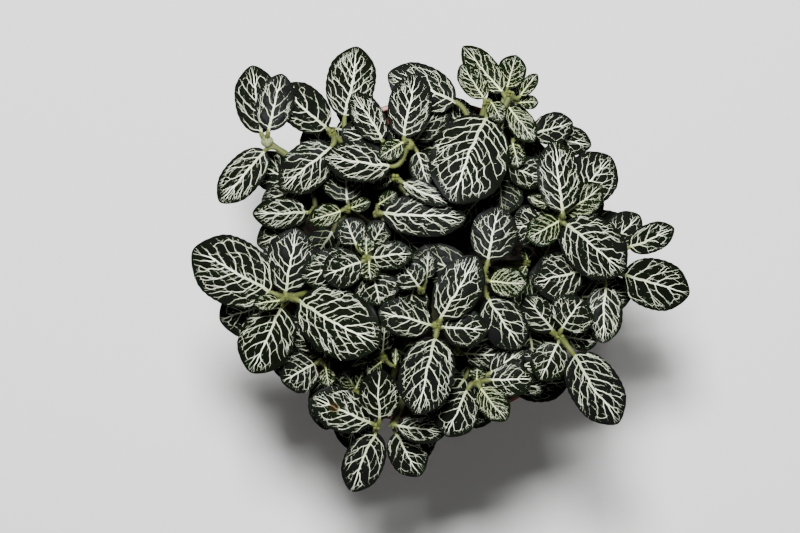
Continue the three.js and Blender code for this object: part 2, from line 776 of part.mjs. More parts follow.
function stemSolid(shoot, radius, extra) {
  const { reach, turn, bend } = shoot.way;
  const curve = stemCurve(shoot, reach, turn, bend, extra);
  return solidOf(new THREE.ExtrudeGeometry(ring(radius, STEM_SIDES), {
    steps: shoot.low ? LOW_STEM_STEPS : STEM_STEPS, bevelEnabled: false, extrudePath: curve,
  }));
}

function shootSolid(shoot) {
  let solid = stemSolid(shoot, STEM_RADIUS, 0);
  if (!shoot.low) {
    const bud = new THREE.OctahedronGeometry(1, 0);
    bud.scale(NODE_RADIUS, NODE_RADIUS, BUD_HEIGHT);
    bud.translate(shoot.px, shoot.py, shoot.pz);
    solid = solid.add(solidOf(bud));
  }
  for (const leaf of shoot.leaves) {
    const root = stemAt(shoot, Math.min(shoot.pz, leaf.z - ROOT_DROP));
    solid = solid.add(bladeSolid(leaf, root));
  }
  return solid;
}

function potSolid() {
  const bandFoot = POT_HEIGHT - BAND_HEIGHT;
  const wallTop = POT_RIM_RADIUS - BAND_DRAFT - BAND_STEP;
  const bandInner = POT_RIM_RADIUS - BAND_DRAFT - POT_WALL;
  const profile = [
    [0, 0],
    [POT_BASE_RADIUS - EDGE, 0],
    [POT_BASE_RADIUS, EDGE],
    [wallTop, bandFoot],
    [POT_RIM_RADIUS - BAND_DRAFT, bandFoot],
    [POT_RIM_RADIUS, POT_HEIGHT - EDGE],
    [POT_RIM_RADIUS - EDGE / 2, POT_HEIGHT],
    [POT_RIM_RADIUS - POT_WALL, POT_HEIGHT],
    [bandInner, bandFoot + POT_WALL],
    [wallTop - POT_WALL, bandFoot - EDGE],
    [POT_BASE_RADIUS - POT_WALL, POT_FLOOR],
    [0, POT_FLOOR],
  ];
  const body = new THREE.LatheGeometry(profile.map(([r, z]) => new THREE.Vector2(r, z)), POT_SEGMENTS);
  body.rotateX(Math.PI / 2);
  let solid = solidOf(body);
  for (let i = 0; i < DRAIN_COUNT; i += 1) {
    const angle = (2 * Math.PI * i) / DRAIN_COUNT;
    const hole = new THREE.CylinderGeometry(DRAIN_RADIUS, DRAIN_RADIUS, POT_FLOOR * 4, DRAIN_SIDES);
    hole.rotateX(Math.PI / 2);
    hole.translate(DRAIN_CIRCLE * Math.cos(angle), DRAIN_CIRCLE * Math.sin(angle), 0);
    solid = solid.subtract(solidOf(hole));
  }
  return solid;
}

function soilSolid(shoots) {
  const bottom = POT_FLOOR + GAP;
  const wallTop = POT_RIM_RADIUS - BAND_DRAFT - BAND_STEP - POT_WALL;
  const wallFoot = POT_BASE_RADIUS - POT_WALL;
  const taper = (wallTop - wallFoot) / (POT_HEIGHT - BAND_HEIGHT - EDGE - POT_FLOOR);
  const radiusAt = (z) => wallFoot + taper * (z - POT_FLOOR) - WALL_GAP;
  const profile = [[0, bottom], [radiusAt(bottom), bottom]];
  const edge = radiusAt(SOIL_EDGE_HEIGHT - SOIL_BEVEL);
  profile.push([edge, SOIL_EDGE_HEIGHT - SOIL_BEVEL]);
  for (const share of SOIL_RINGS) {
    profile.push([edge * share, soilHeight(edge * share)]);
  }
  const body = new THREE.LatheGeometry(profile.map(([r, z]) => new THREE.Vector2(r, z)), POT_SEGMENTS);
  body.rotateX(Math.PI / 2);
  let solid = solidOf(body);
  const wider = GAP / Math.cos(Math.PI / STEM_SIDES);
  for (const shoot of shoots) {
    solid = solid.subtract(stemSolid(shoot, STEM_RADIUS + wider, GAP));
  }
  return solid;
}

const POT_PLASTIC = new THREE.MeshStandardMaterial({ color: '#7a3b26', roughness: 0.55, metalness: 0 });
const SOIL = new THREE.MeshStandardMaterial({ color: '#2a1d15', roughness: 0.95, metalness: 0 });
const FOLIAGE = new THREE.MeshStandardMaterial({ color: '#2c3a24', roughness: 0.45, metalness: 0 });

const shoots = growPlant();
const plant = new THREE.Group();
plant.add(meshOf('pot', potSolid(), POT_PLASTIC));
plant.add(meshOf('soil', soilSolid(shoots), SOIL));
shoots.forEach((shoot, index) => {
  const name = `shoot_${String(index + 1).padStart(2, '0')}`;
  plant.add(meshOf(name, shootSolid(shoot), FOLIAGE.clone()));
});

export default plant;
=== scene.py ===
import logging
import math
from dataclasses import dataclass, field, fields
from enum import Enum
from typing import Any, Iterable, Sequence

import bpy
import numpy as np
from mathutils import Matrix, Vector
from mathutils.kdtree import KDTree


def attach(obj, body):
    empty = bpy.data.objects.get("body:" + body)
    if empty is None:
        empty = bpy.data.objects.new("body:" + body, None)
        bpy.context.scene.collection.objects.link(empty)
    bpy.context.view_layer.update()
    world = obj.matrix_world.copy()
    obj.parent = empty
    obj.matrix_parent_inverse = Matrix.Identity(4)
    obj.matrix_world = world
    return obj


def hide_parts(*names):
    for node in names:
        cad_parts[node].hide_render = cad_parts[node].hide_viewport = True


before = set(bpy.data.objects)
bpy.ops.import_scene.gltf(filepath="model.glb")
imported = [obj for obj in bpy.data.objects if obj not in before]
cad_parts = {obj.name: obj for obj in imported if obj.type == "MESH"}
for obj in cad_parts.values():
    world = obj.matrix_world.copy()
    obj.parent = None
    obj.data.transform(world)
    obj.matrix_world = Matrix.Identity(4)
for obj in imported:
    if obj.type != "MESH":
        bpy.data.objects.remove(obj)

LOG = logging.getLogger("nerve_plant")
MM = 0.001

# Pot and soil, in millimetres, as in the part's own source
POT_HEIGHT = 105.0
POT_RIM_RADIUS = 59.0
POT_BASE_RADIUS = 42.0
POT_WALL = 1.8
POT_FLOOR = 3.0
BAND_HEIGHT = 11.0
BAND_STEP = 2.9
BAND_DRAFT = 1.4
EDGE = 0.9
DRAIN_COUNT = 6
DRAIN_RADIUS = 3.5
DRAIN_CIRCLE = 25.0
GAP = 0.3
WALL_GAP = 0.33
SOIL_EDGE_HEIGHT = 91.0
SOIL_CROWN = 4.5
SOIL_BEVEL = 1.0

# Crown: the dome that the uppermost blades follow, and the eye that their places are given for
CROWN_X = 3.0
CROWN_Y = -2.0
CROWN_TOP = 150.0
CROWN_FALL = 50.0
CROWN_REACH = 85.0
EYE_X = -10.9
EYE_Y = -1.6
EYE_Z = 945.0
SIGHT_HEIGHT = 145.0
LENS = 104.3
SENSOR = 36.0

# Blades
BLADE_WIDEST = 0.51
BASE_FULLNESS = 2.3
TIP_FULLNESS = 2.15
OUTLINE_ROUNDNESS = 0.52
BLADE_ARCH = 0.05
BLADE_CURL = 0.055
DOME_FOLLOW = 0.6
YOUNG_CURL = -0.1
BLADE_WAVE = 0.028
WAVES = 3
STALK_THICK = 1.5
ROOT_DROP = 1.0
PHASE_STEP = 2.4

# Settling
CLEAR = 2.6
ROOT_ZONE = 7.0
CHECK_ROWS = 10
CHECK_SIDES = 3
CHECK_MARGIN = 0.8
SETTLE_TURNS = (0, 0.1, -0.1, 0.2, -0.2, 0.3, -0.3)
SETTLE_ROLLS = (0, 0.16, -0.16)
TURN_COST = 9.0
ROLL_COST = 7.0
LEAST_GAIN = 1e-6

# Stems
STEM_RADIUS = 1.25
STEM_SUNK = 8.0
FOOT_LIMIT = 46.0
NODE_REACH = 9.0
NODE_DROP = 2.2
BUD_HEIGHT = 4.0
LEAN_START = 42.0
LEAN_RANGE = 20.0
LEAN_BACK = 0.4
LOW_POINT = 0.5
LOW_POINT_LEAN = 0.35
HIGH_POINT = 0.62
HIGH_POINT_LEAN = 0.46
STEM_CHECKS = 26
STEM_CLEAR = 2.5
STEM_MARGIN = 2.5
STEM_SPACING = 3.6
STEM_REACHES = (0.55, 0.45, 0.65, 0.35, 0.75)
STEM_TURNS = (0, 0.2, -0.2, 0.4, -0.4)
BEND_SIZES = (5, 10, 16)
BEND_WAYS = 8

# Lower growth
RIM_ZONE_START = 51.0
RIM_ZONE_END = 62.0
LEAST_ABOVE_RIM = 107.6
LEAST_ABOVE_SOIL = 99.0
LOWER_DROPS = (12, 22)
LOWER_STALK = 4.0
LOWER_RISE = 2.0
LOWER_SIDE = 0.9
LOWER_FAN = 7
FAN_STEP = 0.35
LOWER_CLEAR = 3.0
LOWER_LEAST_RADIUS = 33.0
LOWER_SIZES = ((21, 14.5), (16, 11.5))
LOWER_SLOPES = (-0.1, -0.35, 0.15, -0.6)
INNER_DROPS = (11, 17, 24)
INNER_REACH = 46.0
INNER_FAN = 18
IN_THE_GAPS = (0.25, 0.85)
INNER_LEAVES = 14
RIM_PLACES = 24
RIM_FOOT = 43.0
RIM_NODES = ((50, 109), (50, 113), (46, 110), (52, 117))
RIM_SHOOTS = 14
RIM_LEAVES = 3
RIM_FAN = 11
OUT_OF_SIGHT = (0.7, 1.0)
LEAST_FAN = 0.8

# Every shoot: the place of its top node and its blades. A blade is base x, base y, tip x, tip y,
# width, depth under the dome, and 1 where it is young.
SHOOTS = (
    ((-57, 42), (
        (-58.5, 44, -61, 66.5, 15, -4), (-56, 45, -51, 64, 13, -6), (-57.5, 38.5, -73, 20.5, 13, -5),
    )),
    ((-34.5, 44.5), (
        (-36, 46, -52, 60, 15, 0), (-34.5, 40, -52, 25, 16, 1), (-30, 50, -25.5, 73.7, 17, 4),
        (-33, 46, -22, 44, 10, 12),
    )),
    ((-8.5, 41), (
        (-9.5, 43, -5.5, 64.5, 15, -4), (-10, 41, -18, 36, 7.5, -5, 1), (-6, 42, 5, 56, 12, 9),
        (-5, 38, -1, 26.5, 9, 5), (-17, 42, -27, 58, 11, 0), (-14, 33, -37, 36, 14, -1),
    )),
    ((19, 55), (
        (19, 50, 7, 20.5, 27, -8), (18, 56.5, 10, 67.8, 9, -10, 1), (20.5, 55, 24.5, 48.5, 7, -11, 1),
        (8, 55, -15, 64, 16, 5),
    )),
    ((27, 57.5), (
        (24.5, 58.5, 10.7, 74, 10, -7, 1), (26, 60, 29, 71, 10, -6, 1), (30, 56.5, 35.7, 63.8, 5, -6, 1),
        (30, 54.5, 36.5, 54.5, 5, -5, 1), (26.5, 53.5, 35.5, 41.5, 9, -4, 1),
    )),
    ((32, 43), (
        (35, 44, 48.5, 48, 11, 2), (28, 41, 30, 32.5, 7, 3, 1), (30, 44, 28.5, 49, 4, 1, 1),
        (40, 44, 55, 40, 10, 9),
    )),
    ((22.5, 31), (
        (23.5, 29, 25, 16, 15, 16), (26, 33, 39, 28, 11, 16),
    )),
    ((18, -5), (
        (19.5, 0.5, 23.5, 19, 16, 0), (20, -6.6, 33, -7.5, 10.5, -1, 1), (19.5, -12.5, 30.5, -30, 15, 1),
    )),
    ((-19, 16.5), (
        (-17, 16.8, 12, 15, 14.5, 4), (-18, 20, -12, 24, 5, 9, 1),
    )),
    ((-12.5, 29), (
        (-10, 27.5, 6, 20, 7, 0), (-14, 30, -22, 27, 7, 10),
    )),
    ((-29, 18), (
        (-28, 18.5, -21, 21, 5, 6, 1), (-31, 17.5, -42, 14, 8, 7, 1), (-29, 21, -31, 36, 16, 14),
    )),
    ((-41, 18), (
        (-43, 17, -61.5, 16.5, 11, 8), (-44, 26, -58.5, 20.5, 9, 13), (-46, 12, -60, 6, 12, 16),
    )),
    ((-22.5, 1.5), (
        (-22.5, 3, -22.5, 9, 6.5, -6, 1), (-20.5, 1.5, -6.5, 3, 10, -4), (-24, 0, -37.5, -5, 13, -3),
        (-21.5, 0, -21, -6.5, 7, -6, 1), (-26, 6, -29.5, 15, 11, 8), (-21, 6, -16, 14, 9, 9),
        (-20, -4, -18, -15, 15, 1),
    )),
    ((-50.5, -12.5), (
        (-55, -10.5, -81, 4, 23, -2), (-50.5, -10.4, -46.8, 11.7, 17, -1),
        (-45.4, -13.5, -17.8, -28.7, 23, -1), (-51.5, -15.5, -62, -38, 19, -3),
        (-56, -14.5, -72.7, -20, 17, 6), (-52.5, -13.3, -61, -14.5, 6, -5, 1), (-53, -8, -57, 3.5, 8, 8),
    )),
    ((45, 15.5), (
        (45, 17, 42, 41.5, 15, -5), (46, 16.5, 58.5, 26, 11, -3, 1), (46, 13, 66, -3.5, 20, -4),
        (44, 14, 33, 8, 11, -4, 1), (42, 13, 27.5, 12, 15, 2), (43, 19, 33, 22.5, 5, -3, 1),
        (48.5, 21.5, 61.5, 36, 18, 5),
    )),
    ((64, -0.5), (
        (66, -4.5, 88, -11, 17.5, 4), (68, 5, 83, 11.5, 10, 4), (61, 6, 71.5, 16, 12, 10),
    )),
    ((57.5, -4), (
        (52, -2.8, 35, -7.3, 17, 3), (60, -8, 58.5, -28, 13, 4),
    )),
    ((44.5, -26), (
        (44.8, -23, 52, -12.5, 16, -1), (42, -23.5, 32, -12, 12, 5), (43.8, -28, 37.4, -41, 13, -2),
        (48.4, -31.5, 63, -54.8, 17.5, -3), (47, -26, 57, -27.5, 8, 8),
    )),
    ((9, -31), (
        (11, -31.8, 28, -32.5, 9.5, 8),
    )),
    ((15.8, -41.8), (
        (20, -40.5, 34.5, -40, 12, 2), (16.5, -43, 25.5, -54, 10, -1, 1), (12.5, -44, 5, -60, 15, 0),
        (15.6, -40.5, 15.8, -36.5, 6, -1, 1), (20, -38, 31.5, -30, 9, 8), (27, -43, 40, -42.5, 8, 9),
    )),
    ((1.9, -22), (
        (3.4, -19.4, 15.5, 2, 16, -5), (0, -21.8, -18.5, -16.8, 13, -5), (4, -22.6, 19.5, -23.5, 13, -4),
        (1.4, -26, -5, -52.5, 19, -7),
    )),
    ((-18.8, -57), (
        (-18, -54.5, -18, -37, 14, 0), (-21, -55.5, -41, -46, 15, 2), (-19.2, -58.8, -27.5, -78.5, 14, 3),
    )),
    ((-13.5, -56.5), (
        (-12, -56.5, 5, -59, 10, 4), (-12.5, -59, -4, -73.5, 13, 9),
    )),
    ((-38, -34), (
        (-40, -35, -51.5, -41, 14.5, 7), (-36.4, -36.5, -35.2, -43, 6, 8, 1),
        (-42, -33, -54.5, -37, 12, 13), (-41, -30, -48.5, -22, 9, 10),
    )),
    ((-26, -45), (
        (-26.5, -43.5, -31, -37, 7, 9, 1), (-26, -43.5, -23.5, -37.5, 5, 9, 1),
    )),
    ((-16.5, -33.5), (
        (-17, -31, -16, -21.5, 9, 10), (-19, -33.5, -28, -36, 5, 9, 1), (-12.5, -35, -12.3, -29.5, 3, 4, 1),
        (-17.5, -34.5, -22.5, -38.5, 6, 8, 1),
    )),
    ((-3.5, -10), (
        (-4.5, -8.5, -10.5, 0, 12, 5), (-6, -9, -7.5, -18, 12, 11), (-2, -6, -1, 4, 7, 8),
    )),
    ((33, -0.5), (
        (32.5, -1.5, 30, -5.5, 4, 15, 1), (33, 1, 32, 5, 4, 15, 1),
    )),
)


def crown_height(x: Any, y: Any) -> Any:
    """The height of the dome that the uppermost blades follow."""
    return CROWN_TOP - CROWN_FALL * ((x - CROWN_X) ** 2 + (y - CROWN_Y) ** 2) / CROWN_REACH**2


def soil_height(r: Any) -> Any:
    """The height of the soil at a distance from the pot's axis."""
    return SOIL_EDGE_HEIGHT + SOIL_CROWN * np.maximum(0, 1 - (r / POT_RIM_RADIUS) ** 2)


def sight_scale(z: float) -> float:
    """How much smaller a size is at height z than it looks at the crown's height."""
    return (EYE_Z - z) / (EYE_Z - SIGHT_HEIGHT)


def along_sight(x: float, y: float, z: float) -> tuple[float, float]:
    """A place seen at the crown's height, carried along the line of sight to height z."""
    return EYE_X + (x - EYE_X) * sight_scale(z), EYE_Y + (y - EYE_Y) * sight_scale(z)


def outline(t: Any) -> Any:
    """Half the width of a blade at t from its base (0) to its tip (1), as a share of the greatest.

    Args:
        t: The share of the way from base to tip.

    Returns:
        The half width as that share.
    """
    t = np.asarray(t, float)
    toward_base = t < BLADE_WIDEST
    away = np.where(toward_base, (BLADE_WIDEST - t) / BLADE_WIDEST, (t - BLADE_WIDEST) / (1 - BLADE_WIDEST))
    fullness = np.where(toward_base, BASE_FULLNESS, TIP_FULLNESS)
    return np.maximum(0, 1 - np.minimum(1, away) ** fullness) ** OUTLINE_ROUNDNESS


@dataclass
class Blade:
    """One blade, or many at once where each field is an array.

    The base lies at (x, y, z) and the blade points along (ax, ay). Lengths are in millimetres.
    """

    x: Any
    y: Any
    ax: Any
    ay: Any
    length: Any
    half: Any
    arch: Any
    curl: Any
    shoot: Any
    z: Any = 0.0
    slope: Any = 0.0
    roll: Any = 0.0

    @staticmethod
    def stack(blades: Sequence["Blade"]) -> "Blade":
        """All the blades as one, with an array in each field."""
        return Blade(*(np.array([getattr(b, f.name) for b in blades], float) for f in fields(Blade)))

    def local(self, x: Any, y: Any) -> tuple[Any, Any]:
        """How far a place lies along the blade from its base, and to its left."""
        dx, dy = x - self.x, y - self.y
        return dx * self.ax + dy * self.ay, dy * self.ax - dx * self.ay

    def at(self, u: Any, v: Any) -> tuple[Any, Any]:
        """The place at u along the blade from its base and v to its left."""
        return self.x + u * self.ax - v * self.ay, self.y + u * self.ay + v * self.ax

    def height(self, x: Any, y: Any) -> Any:
        """The height of the blade's upper side at a place.

        Args:
            x: X of the place.
            y: Y of the place.

        Returns:
            Its height.
        """
        u, v = self.local(x, y)
        t = np.clip(u / self.length, 0, 1)
        bow = self.arch * 4 * t * (1 - t) - self.curl * (v / self.half) ** 2
        return self.z + self.slope * u + self.roll * v + bow

    def covers(self, x: Any, y: Any, margin: float) -> Any:
        """Whether a place lies over the blade, or closer to its edge than the margin.

        Args:
            x: X of the place.
            y: Y of the place.
            margin: How far past the edge still counts.

        Returns:
            True where it does.
        """
        u, v = self.local(x, y)
        t = np.clip(u / self.length, 0, 1)
        along = (u >= -margin) & (u <= self.length + margin)
        return along & (np.abs(v) <= self.half * outline(t) + margin)


CHECK_T = np.repeat(np.arange(CHECK_ROWS + 1) / CHECK_ROWS, 2 * CHECK_SIDES + 1)
CHECK_S = np.tile(np.arange(-CHECK_SIDES, CHECK_SIDES + 1) / CHECK_SIDES, CHECK_ROWS + 1)
CHECK_HALF = outline(CHECK_T)


@dataclass
class Leaf(Blade):
    """A blade of one shoot, with the places on it that the checks for clearance look at."""

    young: bool = False
    number: int = 0
    depth: float = 0.0
    rest_slope: float = 0.0
    px: np.ndarray = field(default_factory=lambda: np.zeros(0))
    py: np.ndarray = field(default_factory=lambda: np.zeros(0))

    @staticmethod
    def make(number: int, shoot: int, x: float, y: float, angle: float, length: float, width: float,
             young: bool) -> "Leaf":
        """A level blade.

        Args:
            number: the blade's number, which sets where its edge waves start.
            shoot: the number of its shoot.
            x, y: its base.
            angle: the way it points, in radians.
            length, width: its size.
            young: whether its edges still curl up.

        Returns:
            The blade at height 0.
        """
        curl = (YOUNG_CURL if young else BLADE_CURL) * width
        leaf = Leaf(x, y, math.cos(angle), math.sin(angle), length, width / 2, BLADE_ARCH * length, curl,
                    shoot, young=young, number=number)
        leaf.px, leaf.py = leaf.plan(CHECK_T, CHECK_S * CHECK_HALF)
        return leaf

    @staticmethod
    def seen(number: int, shoot: int, row: Sequence[float]) -> "Leaf":
        """A blade from its row in the table of shoots.

        Args:
            number: the blade's number.
            shoot: the number of its shoot.
            row: base and tip as seen at the crown's height, width, depth and 1 where it is young.

        Returns:
            The blade, at its depth under the dome.
        """
        base_x, base_y, tip_x, tip_y, width, depth = row[:6]
        base_z = crown_height(base_x, base_y) - depth
        tip_z = crown_height(tip_x, tip_y) - depth
        bx, by = along_sight(base_x, base_y, base_z)
        tx, ty = along_sight(tip_x, tip_y, tip_z)
        size = width * sight_scale((base_z + tip_z) / 2)
        length = math.hypot(tx - bx, ty - by)
        leaf = Leaf.make(number, shoot, bx, by, math.atan2(ty - by, tx - bx), length, size, len(row) > 6)
        leaf.z = base_z
        leaf.depth = depth
        leaf.rest_slope = DOME_FOLLOW * (tip_z - base_z) / length
        return leaf

    def plan(self, t: Any, across: Any) -> tuple[Any, Any]:
        """The place at t along the blade and a share of the greatest half width across."""
        return self.at(t * self.length, across * self.half)

    def wave(self, t: Any, s: Any) -> Any:
        """How far the edge waves up or down at t along the blade and s of its own width across."""
        turn = 2 * math.pi * WAVES * t + self.number * PHASE_STEP + s
        return BLADE_WAVE * self.half * np.abs(s) * np.sin(turn)


@dataclass
class Way:
    """How a stem runs from the soil to its node."""

    reach: float
    turn: float = 0.0
    bend: tuple[float, float] = (0.0, 0.0)


@dataclass
class Shoot:
    """One shoot: its top node, its leaves and its stem's way."""

    number: int
    x: float
    y: float
    z: float = 0.0
    low: bool = False
    leaves: list[Leaf] = field(default_factory=list)
    way: Way = field(default_factory=lambda: Way(0.55))

    def stem_curve(self, way: Way) -> np.ndarray:
        """The stem's points from its foot in the soil to its node, for one way up.

        Args:
            way: The way up that is tried.

        Returns:
            The points, the foot first.
        """
        out = math.hypot(self.x, self.y)
        angle = math.atan2(self.y, self.x) + way.turn
        foot_x, foot_y = out * way.reach * math.cos(angle), out * way.reach * math.sin(angle)
        foot = float(soil_height(out * way.reach)) - STEM_SUNK
        rise = self.z - foot
        lean = min(1.0, max(0.0, (out - LEAN_START) / LEAN_RANGE))
        back = LEAN_BACK * lean
        bend_x, bend_y = way.bend
        corners = np.array((
            (foot_x, foot_y, foot),
            (foot_x + bend_x / 2, foot_y + bend_y / 2, foot + rise * (LOW_POINT + LOW_POINT_LEAN * lean)),
            (self.x + (foot_x - self.x) * back + bend_x, self.y + (foot_y - self.y) * back + bend_y,
             foot + rise * (HIGH_POINT + HIGH_POINT_LEAN * lean)),
            (self.x, self.y, self.z),
        ))
        t = np.linspace(0, 1, STEM_CHECKS + 1)[:, None]
        weights = np.hstack(((1 - t) ** 3, 3 * t * (1 - t) ** 2, 3 * t**2 * (1 - t), t**3))
        return weights @ corners

    @property
    def stem(self) -> np.ndarray:
        """The stem's points on its chosen way."""
        return self.stem_curve(self.way)

    def stem_at(self, z: float) -> np.ndarray:
        """The last place on the stem that is no higher than z, or its foot.

        Args:
            z: The height looked for.

        Returns:
            The place on the stem.
        """
        points = self.stem
        below = np.nonzero(points[:, 2] <= z)[0]
        return points[below[-1]] if len(below) else points[0]


def over_rim(r: Any) -> Any:
    """Whether a distance from the axis lies over the pot's rim."""
    return (r > RIM_ZONE_START) & (r < RIM_ZONE_END)


def fan(start: float, count: int) -> list[float]:
    """Directions that fan out to both sides of the first one."""
    return [start + FAN_STEP * ((i + 1) / 2 if i % 2 else -i / 2) for i in range(count)]


@dataclass
class Plant:
    """Grows the shoots by the rules of the part's own source, so that each piece keeps its form."""

    shoots: list[Shoot] = field(default_factory=list)
    leaves: list[Leaf] = field(default_factory=list)
    stems: list[np.ndarray] = field(default_factory=list)
    laid: Blade | None = None
    crown: Blade | None = None

    def grow(self) -> None:
        """Builds every shoot, from the seen blades down to the hidden ones."""
        self.read_shoots()
        self.settle()
        for shoot in self.shoots:
            self.set_node_height(shoot)
        self.lay()
        for shoot in self.shoots:
            self.route(shoot)
        self.crown = self.laid
        self.grow_inner()
        self.grow_rim_shoots()
        self.grow_lower_pairs()

    def read_shoots(self) -> None:
        """Reads the table of shoots."""
        for (x, y), rows in SHOOTS:
            index = len(self.shoots)
            leaves = [Leaf.seen(len(self.leaves) + i, index, row) for i, row in enumerate(rows)]
            least = min(leaf.depth for leaf in leaves)
            node_x, node_y = along_sight(x, y, crown_height(x, y) - least)
            self.shoots.append(Shoot(index, node_x, node_y, leaves=leaves))
            self.leaves.extend(leaves)

    def lay(self) -> None:
        """Gathers all the blades for the tests that look at many at once."""
        self.laid = Blade.stack(self.leaves)

    def shared(self, leaf: Leaf, others: Sequence[Leaf]) -> tuple[np.ndarray, ...]:
        """The places that a blade and others both cover.

        Args:
            leaf: the blade.
            others: the blades to set it against.

        Returns:
            x, y and the other blade's height there, as three arrays.
        """
        near = [o for o in others
                if math.hypot(leaf.x - o.x, leaf.y - o.y) < leaf.length + leaf.half + o.length + o.half]
        if not near:
            return np.zeros(0), np.zeros(0), np.zeros(0)
        many = Blade.stack(near)
        mine = many.covers(leaf.px[:, None], leaf.py[:, None], CHECK_MARGIN)
        row, column = np.nonzero(mine)
        x, y = leaf.px[row], leaf.py[row]
        heights = many.height(leaf.px[:, None], leaf.py[:, None])[row, column]
        owners = many.shoot[column]
        their_x = np.concatenate([o.px for o in near])
        their_y = np.concatenate([o.py for o in near])
        kept = leaf.covers(their_x, their_y, CHECK_MARGIN)
        which = np.repeat(np.arange(len(near)), len(CHECK_T))[kept]
        their_x, their_y = their_x[kept], their_y[kept]
        picked = Blade(*(getattr(many, f.name)[which] for f in fields(Blade)))
        x, y = np.concatenate((x, their_x)), np.concatenate((y, their_y))
        heights = np.concatenate((heights, picked.height(their_x, their_y)))
        owners = np.concatenate((owners, picked.shoot))
        home = self.shoots[int(leaf.shoot)]
        free = (owners == leaf.shoot) & (np.hypot(x - home.x, y - home.y) < ROOT_ZONE)
        return x[~free], y[~free], heights[~free]

    def settle(self) -> None:
        """Lays the blades from the deepest to the topmost, each clear over those already down."""
        placed: list[Leaf] = []
        for leaf in sorted(self.leaves, key=lambda one: -one.depth):
            x, y, heights = self.shared(leaf, placed)
            best = (math.inf, 0.0, 0.0, 0.0)
            for roll in SETTLE_ROLLS:
                for turn in SETTLE_TURNS:
                    leaf.slope, leaf.roll = leaf.rest_slope + turn, roll
                    lift = float(np.max(heights - leaf.height(x, y) + CLEAR, initial=0.0))
                    cost = lift + TURN_COST * abs(turn) + ROLL_COST * abs(roll)
                    if cost < best[0] - LEAST_GAIN:
                        best = (cost, lift, turn, roll)
            leaf.slope, leaf.roll = leaf.rest_slope + best[2], best[3]
            leaf.z += best[1]
            placed.append(leaf)

    def set_node_height(self, shoot: Shoot) -> None:
        """Puts the top node a little under the bases of the blades near it in height.

        Args:
            shoot: The shoot that the node is in.
        """
        top = max(leaf.z for leaf in shoot.leaves)
        upper = [leaf.z for leaf in shoot.leaves if leaf.z > top - NODE_REACH]
        shoot.z = sum(upper) / len(upper) - NODE_DROP

    def near_blades(self, points: np.ndarray, blades: Blade) -> np.ndarray:
        """Which blades come too near which points of a stem."""
        x, y, z = (points[:, i, None] for i in range(3))
        return blades.covers(x, y, STEM_MARGIN) & (np.abs(blades.height(x, y) - z) < STEM_CLEAR)

    def clashes(self, shoot: Shoot, points: np.ndarray) -> int:
        """How many places of a stem come too near the rim, a blade of another shoot or a stem.

        Args:
            shoot: The shoot that the stem is part of.
            points: The stem's points.

        Returns:
            The number of such places.
        """
        r = np.hypot(points[:, 0], points[:, 1])
        count = int(np.sum(over_rim(r) & (points[:, 2] < LEAST_ABOVE_RIM)))
        count += int(np.sum(self.near_blades(points, self.laid) & (self.laid.shoot != shoot.number)))
        if self.stems:
            others = np.concatenate(self.stems)
            apart = np.linalg.norm(points[:, None] - others[None], axis=2)
            count += int(np.sum(apart < STEM_SPACING))
        return count

    def route(self, shoot: Shoot) -> None:
        """Gives a stem the first free way up from the soil, or the one with the fewest clashes.

        Args:
            shoot: The shoot that gets its stem.
        """
        bends = [(0.0, 0.0)]
        for size in BEND_SIZES:
            for i in range(BEND_WAYS):
                angle = 2 * math.pi * i / BEND_WAYS
                bends.append((size * math.cos(angle), size * math.sin(angle)))
        out = math.hypot(shoot.x, shoot.y)
        ways = [Way(reach, turn, bend) for bend in bends for reach in STEM_REACHES for turn in STEM_TURNS]
        least = None
        for way in ways:
            if least is not None and (least == 0 or out * way.reach > FOOT_LIMIT):
                continue
            count = self.clashes(shoot, shoot.stem_curve(way))
            if least is None or count < least:
                least = count
                shoot.way = way
        self.stems.append(shoot.stem)

    def is_clear(self, leaf: Leaf, stems: Sequence[tuple[int, np.ndarray]]) -> bool:
        """Whether a new blade keeps clear of the other blades and of other shoots' stems.

        Args:
            leaf: The new blade.
            stems: Stems' points, each with its shoot's number.

        Returns:
            True if it does.
        """
        x, y, heights = self.shared(leaf, self.leaves)
        if np.any(np.abs(heights - leaf.height(x, y)) < LOWER_CLEAR):
            return False
        foreign = [points for number, points in stems if number != leaf.shoot]
        return not np.any(self.near_blades(np.concatenate(foreign), Blade.stack([leaf])))

    def above_pot(self, leaf: Leaf) -> bool:
        """Whether a new blade keeps clear of the soil and the pot's rim.

        Args:
            leaf: The new blade.

        Returns:
            True if it does.
        """
        r = np.hypot(leaf.px, leaf.py)
        least = np.where(over_rim(r), LEAST_ABOVE_RIM, LEAST_ABOVE_SOIL)
        return not np.any((r < RIM_ZONE_END) & (leaf.height(leaf.px, leaf.py) < least))

    def hidden_share(self, leaf: Leaf) -> float:
        """The share of a blade that lies under the crown, seen from above.

        Args:
            leaf: The blade.

        Returns:
            The share, from 0 to 1.
        """
        x, y = leaf.px[:, None], leaf.py[:, None]
        over = self.crown.covers(x, y, 0) & (self.crown.height(x, y) > leaf.height(x, y))
        return float(np.mean(np.any(over, axis=1)))

